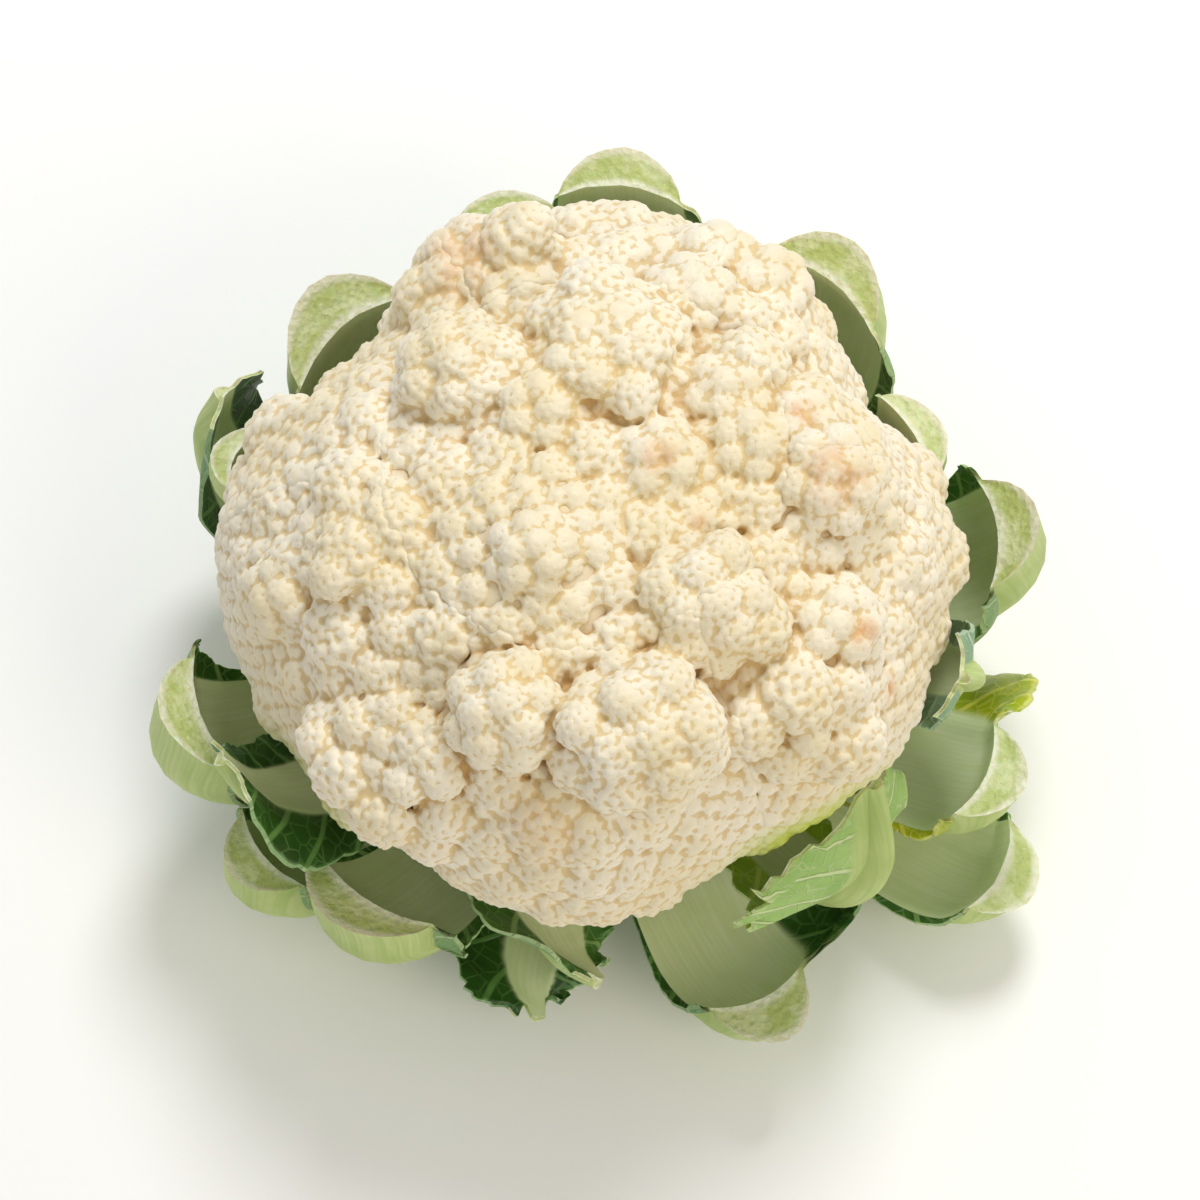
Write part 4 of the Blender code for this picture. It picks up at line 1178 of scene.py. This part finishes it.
def dried_cut(points, columns, along):
    """The cut end's faces, in rows across its thickness that sink a little as it dries, and how
    near to the rim each new row lies. The new points are added to the others."""
    count = STATIONS * columns
    first = count - columns
    rows = [[first + c for c in range(columns)]]
    rim = []
    for step in range(1, CUT_STEPS):
        share = step / CUT_STEPS
        line = []
        for c in range(columns):
            high, low = points[first + c], points[count + first + c]
            dry = (DRIED_IN * math.sin(math.pi * share)
                   * min((high - low).length / DRIED_RIB, 1))
            line.append(len(points))
            points.append(high.lerp(low, share) - along * dry)
        rows.append(line)
        rim.append(abs(2 * share - 1))
    rows.append([count + first + c for c in range(columns)])
    faces = [(high[c], high[c + 1], low[c + 1], low[c])
             for high, low in zip(rows, rows[1:]) for c in range(columns - 1)]
    return faces, rim


def make_leaf(name, leaf, finishes, curd_skin):
    """One leaf with its rib, blades and cut end, in the place of its solid."""
    inner, outer, ribs, across_mm, along_mm, along = leaf_rows(leaf)
    shifts = room_for_curd(inner, curd_skin)
    columns = len(inner[0])
    for s in range(STATIONS):
        for c in range(columns):
            spot = inner[s][c]
            way = Vector((spot.x, spot.y, 0)).normalized()
            inner[s][c] = spot + way * shifts[s, c]
            outer[s][c] = outer[s][c] + way * shifts[s, c]
    points = [p for row in inner + outer for p in row]
    faces, kinds = leaf_faces(columns)
    cut_faces, cut_rim = dried_cut(points, columns, along)
    mesh = bpy.data.meshes.new(f"{name}_finished")
    mesh.from_pydata([tuple(p) for p in points], [], faces + cut_faces)
    obj = put_in_scene(mesh)
    for finish in finishes:
        mesh.materials.append(finish)
    mesh.polygons.foreach_set("material_index", kinds + [2] * len(cut_faces))
    extra = (CUT_STEPS - 1) * columns
    rib_values = np.array(ribs + ribs).ravel()
    write_point_values(obj, "rib", np.concatenate([rib_values, np.ones(extra)]))
    across_share = np.abs(np.linspace(-1, 1, columns))
    outermost = np.clip((across_share - 1) * BLADE_STEPS / 2 + 1, 0, 1)
    edge_values = np.concatenate([np.tile(outermost, 2 * STATIONS), np.zeros(extra)])
    write_point_values(obj, "edge", edge_values)
    rim_values = [np.ones(2 * STATIONS * columns), np.repeat(cut_rim, columns)]
    write_point_values(obj, "rim", np.concatenate(rim_values))
    # The leaf's flat pattern: across it and along it, 100 mm to one
    uv = mesh.uv_layers.new(name="leaf_mm")
    loops = np.empty(len(mesh.loops), dtype=np.int32)
    mesh.loops.foreach_get("vertex_index", loops)
    u = np.concatenate([np.array(across_mm + across_mm).ravel(),
                        np.tile(across_mm[-1], CUT_STEPS - 1)]) * 0.01
    v = np.concatenate([np.repeat(np.array(along_mm + along_mm), columns),
                        np.full(extra, along_mm[-1])]) * 0.01
    uv.data.foreach_set("uv", np.stack([u[loops], v[loops]], axis=1).astype(np.float32).ravel())
    shape = bmesh.new()
    shape.from_mesh(mesh)
    bmesh.ops.recalc_face_normals(shape, faces=shape.faces)
    shape.to_mesh(mesh)
    shape.free()
    mesh.shade_smooth()
    mesh.set_sharp_from_angle(angle=SHARP_EDGE)
    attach(obj, "root")
    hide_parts(name)


# The blade's side veins leave the rib about every 12 mm, and a net about 4 mm wide joins them
VEIN_GAP = 0.12
NET = 4.2 * MM
FIBRES = (90, 2, 1)


def leaf_face(name, rib_colours, blade_colours, vein, roughness, depth_mm, specular):
    """One face of a leaf: a pale juicy rib with fine ridges along it, and a waxy blade in two
    greens with paler veins. The upper side shines a little and the back is matt."""
    made, tree, shader, place = finish_named(name, roughness, specular, 0.15, 1.5)
    shader.inputs["Subsurface Radius"].default_value = (0.5, 1.0, 0.2)
    flat = add(tree, "UVMap", uv_map="leaf_mm")
    split = add(tree, "SeparateXYZ", {0: flat}).node
    rib = add(tree, "Attribute", out=2, attribute_name="rib")
    edge = add(tree, "Attribute", out=2, attribute_name="edge")
    side = add(tree, "Math", {0: split.outputs[0]}, **ABSOLUTE)
    aslant = add(tree, "Math", {0: side, 1: 0.8}, **TIMES)
    aslant = add(tree, "Math", {0: split.outputs[1], 1: aslant}, **MINUS)
    wander = add(tree, "CombineXYZ", {0: aslant, 1: side})
    bands = add(tree, "TexWave", {"Vector": wander, "Scale": 0.314 / VEIN_GAP, "Distortion": 1.6,
                                  "Detail": 2}, 1)
    vein_share = add(tree, "MapRange", {0: bands, 1: 0.92, 2: 0.99}, **EASE)
    net = add(tree, "TexVoronoi", {"Vector": place, "Scale": 1 / NET}, feature="DISTANCE_TO_EDGE")
    net = add(tree, "MapRange", {0: net, 1: 0.0, 2: 0.09, 3: 0.45, 4: 0.0}, **EASE)
    vein_share = add(tree, "Math", {0: vein_share, 1: net}, **MORE)
    blade_share = add(tree, "MapRange", {0: rib, 1: 0.05, 2: 0.6, 3: 1.0, 4: 0.0}, **EASE)
    vein_share = add(tree, "Math", {0: vein_share, 1: blade_share}, **TIMES)
    along = add(tree, "Mapping", {"Vector": flat, "Scale": FIBRES})
    fibre = add(tree, "TexNoise", {"Vector": along, "Scale": 1.5, "Detail": 3})
    rib_colour = toned(tree, linear(rib_colours[0]), fibre, 0.3, 0.7, rib_colours[1])
    cloudy = add(tree, "TexNoise", {"Vector": place, "Scale": 1 / (17 * MM), "Detail": 3})
    rib_colour = toned(tree, rib_colour, cloudy, 0.38, 0.75, rib_colours[2], 0.5)
    mottle = add(tree, "TexNoise", {"Vector": place, "Scale": 1 / (12 * MM), "Detail": 4})
    blade = toned(tree, linear(blade_colours[0]), mottle, 0.3, 0.7, blade_colours[1])
    share = add(tree, "Math", {0: vein_share, 1: 0.7}, **TIMES)
    blade = add(tree, "Mix", {0: share, 6: blade, 7: linear(vein)}, 2, **MIX)
    blade = toned(tree, blade, edge, 0.8, 1.0, vein, 0.6)
    colour = add(tree, "Mix", {0: blade_share, 6: rib_colour, 7: blade}, 2, **MIX)
    ridges = add(tree, "Math", {0: 1.0, 1: blade_share}, **MINUS)
    ridges = add(tree, "Math", {0: ridges, 1: fibre}, **TIMES)
    ridges = add(tree, "Math", {0: ridges, 1: 0.35}, **TIMES)
    height = add(tree, "Math", {0: ridges, 1: vein_share}, **PLUS)
    surface(tree, shader, colour, height, depth_mm)
    return made


def cut_face(name):
    """A knife cut through a rib: moist pale flesh with a whitish dried rim and fibre ends."""
    made, tree, shader, place = finish_named(name, 0.45)
    grain = add(tree, "TexNoise", {"Vector": place, "Scale": 1 / (1.6 * MM), "Detail": 4,
                                   "Roughness": 0.7})
    patches = add(tree, "TexNoise", {"Vector": place, "Scale": 1 / (6 * MM), "Detail": 3})
    pores = add(tree, "TexVoronoi", {"Vector": place, "Scale": 1 / (1.8 * MM)})
    colour = toned(tree, linear("#B9C67A"), patches, 0.42, 0.6, "#CFD8A2")
    colour = toned(tree, colour, grain, 0.5, 0.75, "#94A452", 0.6)
    rim = add(tree, "Attribute", out=2, attribute_name="rim")
    rim = add(tree, "MapRange", {0: rim, 1: 0.4, 2: 0.9}, **EASE)
    ragged = add(tree, "MapRange", {0: grain, 1: 0.3, 2: 0.6, 3: 0.4, 4: 1.0}, **EASE)
    dried = add(tree, "Math", {0: rim, 1: ragged}, **TIMES)
    colour = add(tree, "Mix", {0: dried, 6: colour, 7: linear("#E6E7D2")}, 2, **MIX)
    colour = toned(tree, colour, pores, 0.0, 0.2, "#DCE0B8", 0.0, 1.0)
    height = add(tree, "Math", {0: grain, 1: pores}, **PLUS)
    surface(tree, shader, colour, height, 0.35)
    return made


def stalk_finish():
    """The stump: pale green rind with fibres up it."""
    made, tree, shader, place = finish_named("stalk_rind", 0.5, 0.5, 0.0)
    upright = add(tree, "Mapping", {"Vector": place, "Scale": (1, 1, 0.15)})
    fibre = add(tree, "TexNoise", {"Vector": upright, "Scale": 1 / (1.5 * MM), "Detail": 4})
    colour = toned(tree, linear("#D3DCA3"), fibre, 0.35, 0.7, "#B2C37B")
    surface(tree, shader, colour, fibre, 0.4)
    return made


RIB_IN = ("#E2EBC4", "#D8E4B2", "#BCD08C")
RIB_OUT = ("#C6D38E", "#B2C678", "#98B25C")
# Upper side's two greens and veins, then the back's, of each kind of blade
BLADES = {
    "green": (("#3F7022", "#2F5A1A"), "#8FB26A", ("#86A870", "#749A5A"), "#B7CC96"),
    "dark": (("#2C5A1A", "#1F4210"), "#6E9A52", ("#6C9460", "#568250"), "#A5C08C"),
    # the light kind's bright yellow-green is partly the blade's own paler colour and partly painted
    # light shining through it
    "light": (("#B4D02C", "#93B830"), "#E0EA90", ("#A6C874", "#8DB45C"), "#D6E4AC"),
    "yellow": (("#8FA80F", "#C3C21A"), "#E6E262", ("#A3B840", "#BEC44E"), "#DDE08A"),
    "grey": (("#8FAE8A", "#7FA078"), "#B9CFAE", ("#93B28C", "#80A47C"), "#C5D6BE"),
}


def leaf_finishes():
    """The finishes of each kind of leaf: its upper side, its back and its cuts."""
    cut = cut_face("leaf_knife_cut")
    made = {}
    for kind, (inside, inside_vein, back, back_vein) in BLADES.items():
        made[kind] = (
            leaf_face(f"leaf_{kind}_upper_side", RIB_IN, inside, inside_vein, 0.38, 0.25, 0.5),
            leaf_face(f"leaf_{kind}_back", RIB_OUT, back, back_vein, 0.6, 0.5, 0.35),
            cut,
        )
    return made


# How torn the edges are, in mm, where they are more than a little, and the waves of the blades
# that are more ruffled than in the solid model: height in mm and number
LEAF_TEARS = {"leaf_front_light": 2.2, "leaf_front_inner": 1.3, "leaf_front_dark": 1.8,
              "leaf_right_front": 1.4, "leaf_front_left_dark": 1.0, "leaf_front_right": 1.0}
LEAF_WAVES = {"leaf_front_light": (3.2, 3.0), "leaf_front_inner": (2.0, 3.0)}
LEAF_KINDS = {
    "leaf_left_dark": "dark", "leaf_front_left_dark": "dark", "leaf_front_dark": "dark",
    "leaf_front_inner": "green", "leaf_front_light": "light", "leaf_right_front": "yellow",
    "leaf_right_grey": "grey", "leaf_front_right": "dark",
}


def make_camera():
    """The camera, aimed so that the head stands where the picture has it."""
    side = Vector((1, 0, 0))
    to_eye = Vector((0, -math.cos(VIEW_ELEVATION), math.sin(VIEW_ELEVATION)))
    up = to_eye.cross(side)
    half = FRAME_PIXELS / 2
    aim = Vector((0, 0, CURD_MIDDLE_Z)) + PIXEL * (
        (half - HEAD_PIXEL[0]) * side - (half - HEAD_PIXEL[1]) * up)
    data = bpy.data.cameras.new("camera")
    data.sensor_width = 36
    data.lens = data.sensor_width * CAMERA_DISTANCE / (FRAME_PIXELS * PIXEL)
    data.clip_start = 0.05
    data.clip_end = 20
    camera = put_in_scene(data)
    turn = Matrix((side, up, to_eye)).transposed().to_4x4()
    camera.matrix_world = Matrix.Translation(aim + CAMERA_DISTANCE * to_eye) @ turn
    bpy.context.scene.camera = camera


def soft_light(name, place, aim, size, power, colour):
    """A round lamp of this size in metres and this power in watts."""
    data = bpy.data.lights.new(name, "AREA")
    data.shape = "DISK"
    data.size = size
    data.energy = power
    data.color = linear(colour)[:3]
    light = put_in_scene(data)
    light.location = place
    light.rotation_euler = (Vector(aim) - Vector(place)).to_track_quat("-Z", "Y").to_euler()


def make_stage():
    """A plain white floor, a pale room and two lamps."""
    bpy.ops.mesh.primitive_plane_add(size=FLOOR_SIZE, location=(0, 0, 0))
    floor = bpy.context.object
    floor.name = "floor"
    made = bpy.data.materials.new("plain_white_floor")
    made.use_nodes = True
    shader = made.node_tree.nodes["Principled BSDF"]
    shader.inputs["Base Color"].default_value = linear("#FCFCFC")
    shader.inputs["Roughness"].default_value = 0.9
    floor.data.materials.append(made)
    world = bpy.data.worlds.new("studio")
    bpy.context.scene.world = world
    world.use_nodes = True
    world.node_tree.nodes["Background"].inputs["Color"].default_value = (1, 1, 1, 1)
    world.node_tree.nodes["Background"].inputs["Strength"].default_value = WORLD_STRENGTH
    bpy.context.scene.view_settings.view_transform = "Standard"
    soft_light("key", KEY_PLACE, (0, 0, 0.08), KEY_SIZE, KEY_WATTS, "#FFFFFF")
    soft_light("fill", FILL_PLACE, (0, 0, 0.06), FILL_SIZE, FILL_WATTS, "#FFF1D2")


make_camera()
make_stage()
make_curd()
make_stems()
shape = bmesh.new()
shape.from_mesh(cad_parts["curd"].data)
skin = BVHTree.FromBMesh(shape)
shape.free()
finishes = leaf_finishes()
for leaf_name, leaf in LEAVES.items():
    leaf["teeth"] = LEAF_TEARS.get(leaf_name, USUAL_TEETH)
    leaf["ruffle"] = LEAF_WAVES.get(leaf_name, leaf.get("ruffle", (0, 0)))
    make_leaf(leaf_name, leaf, finishes[LEAF_KINDS.get(leaf_name, "green")], skin)
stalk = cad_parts["stalk"]
for index in range(len(stalk.material_slots)):
    stalk.material_slots[index].material = stalk_finish()

bpy.context.view_layer.update()
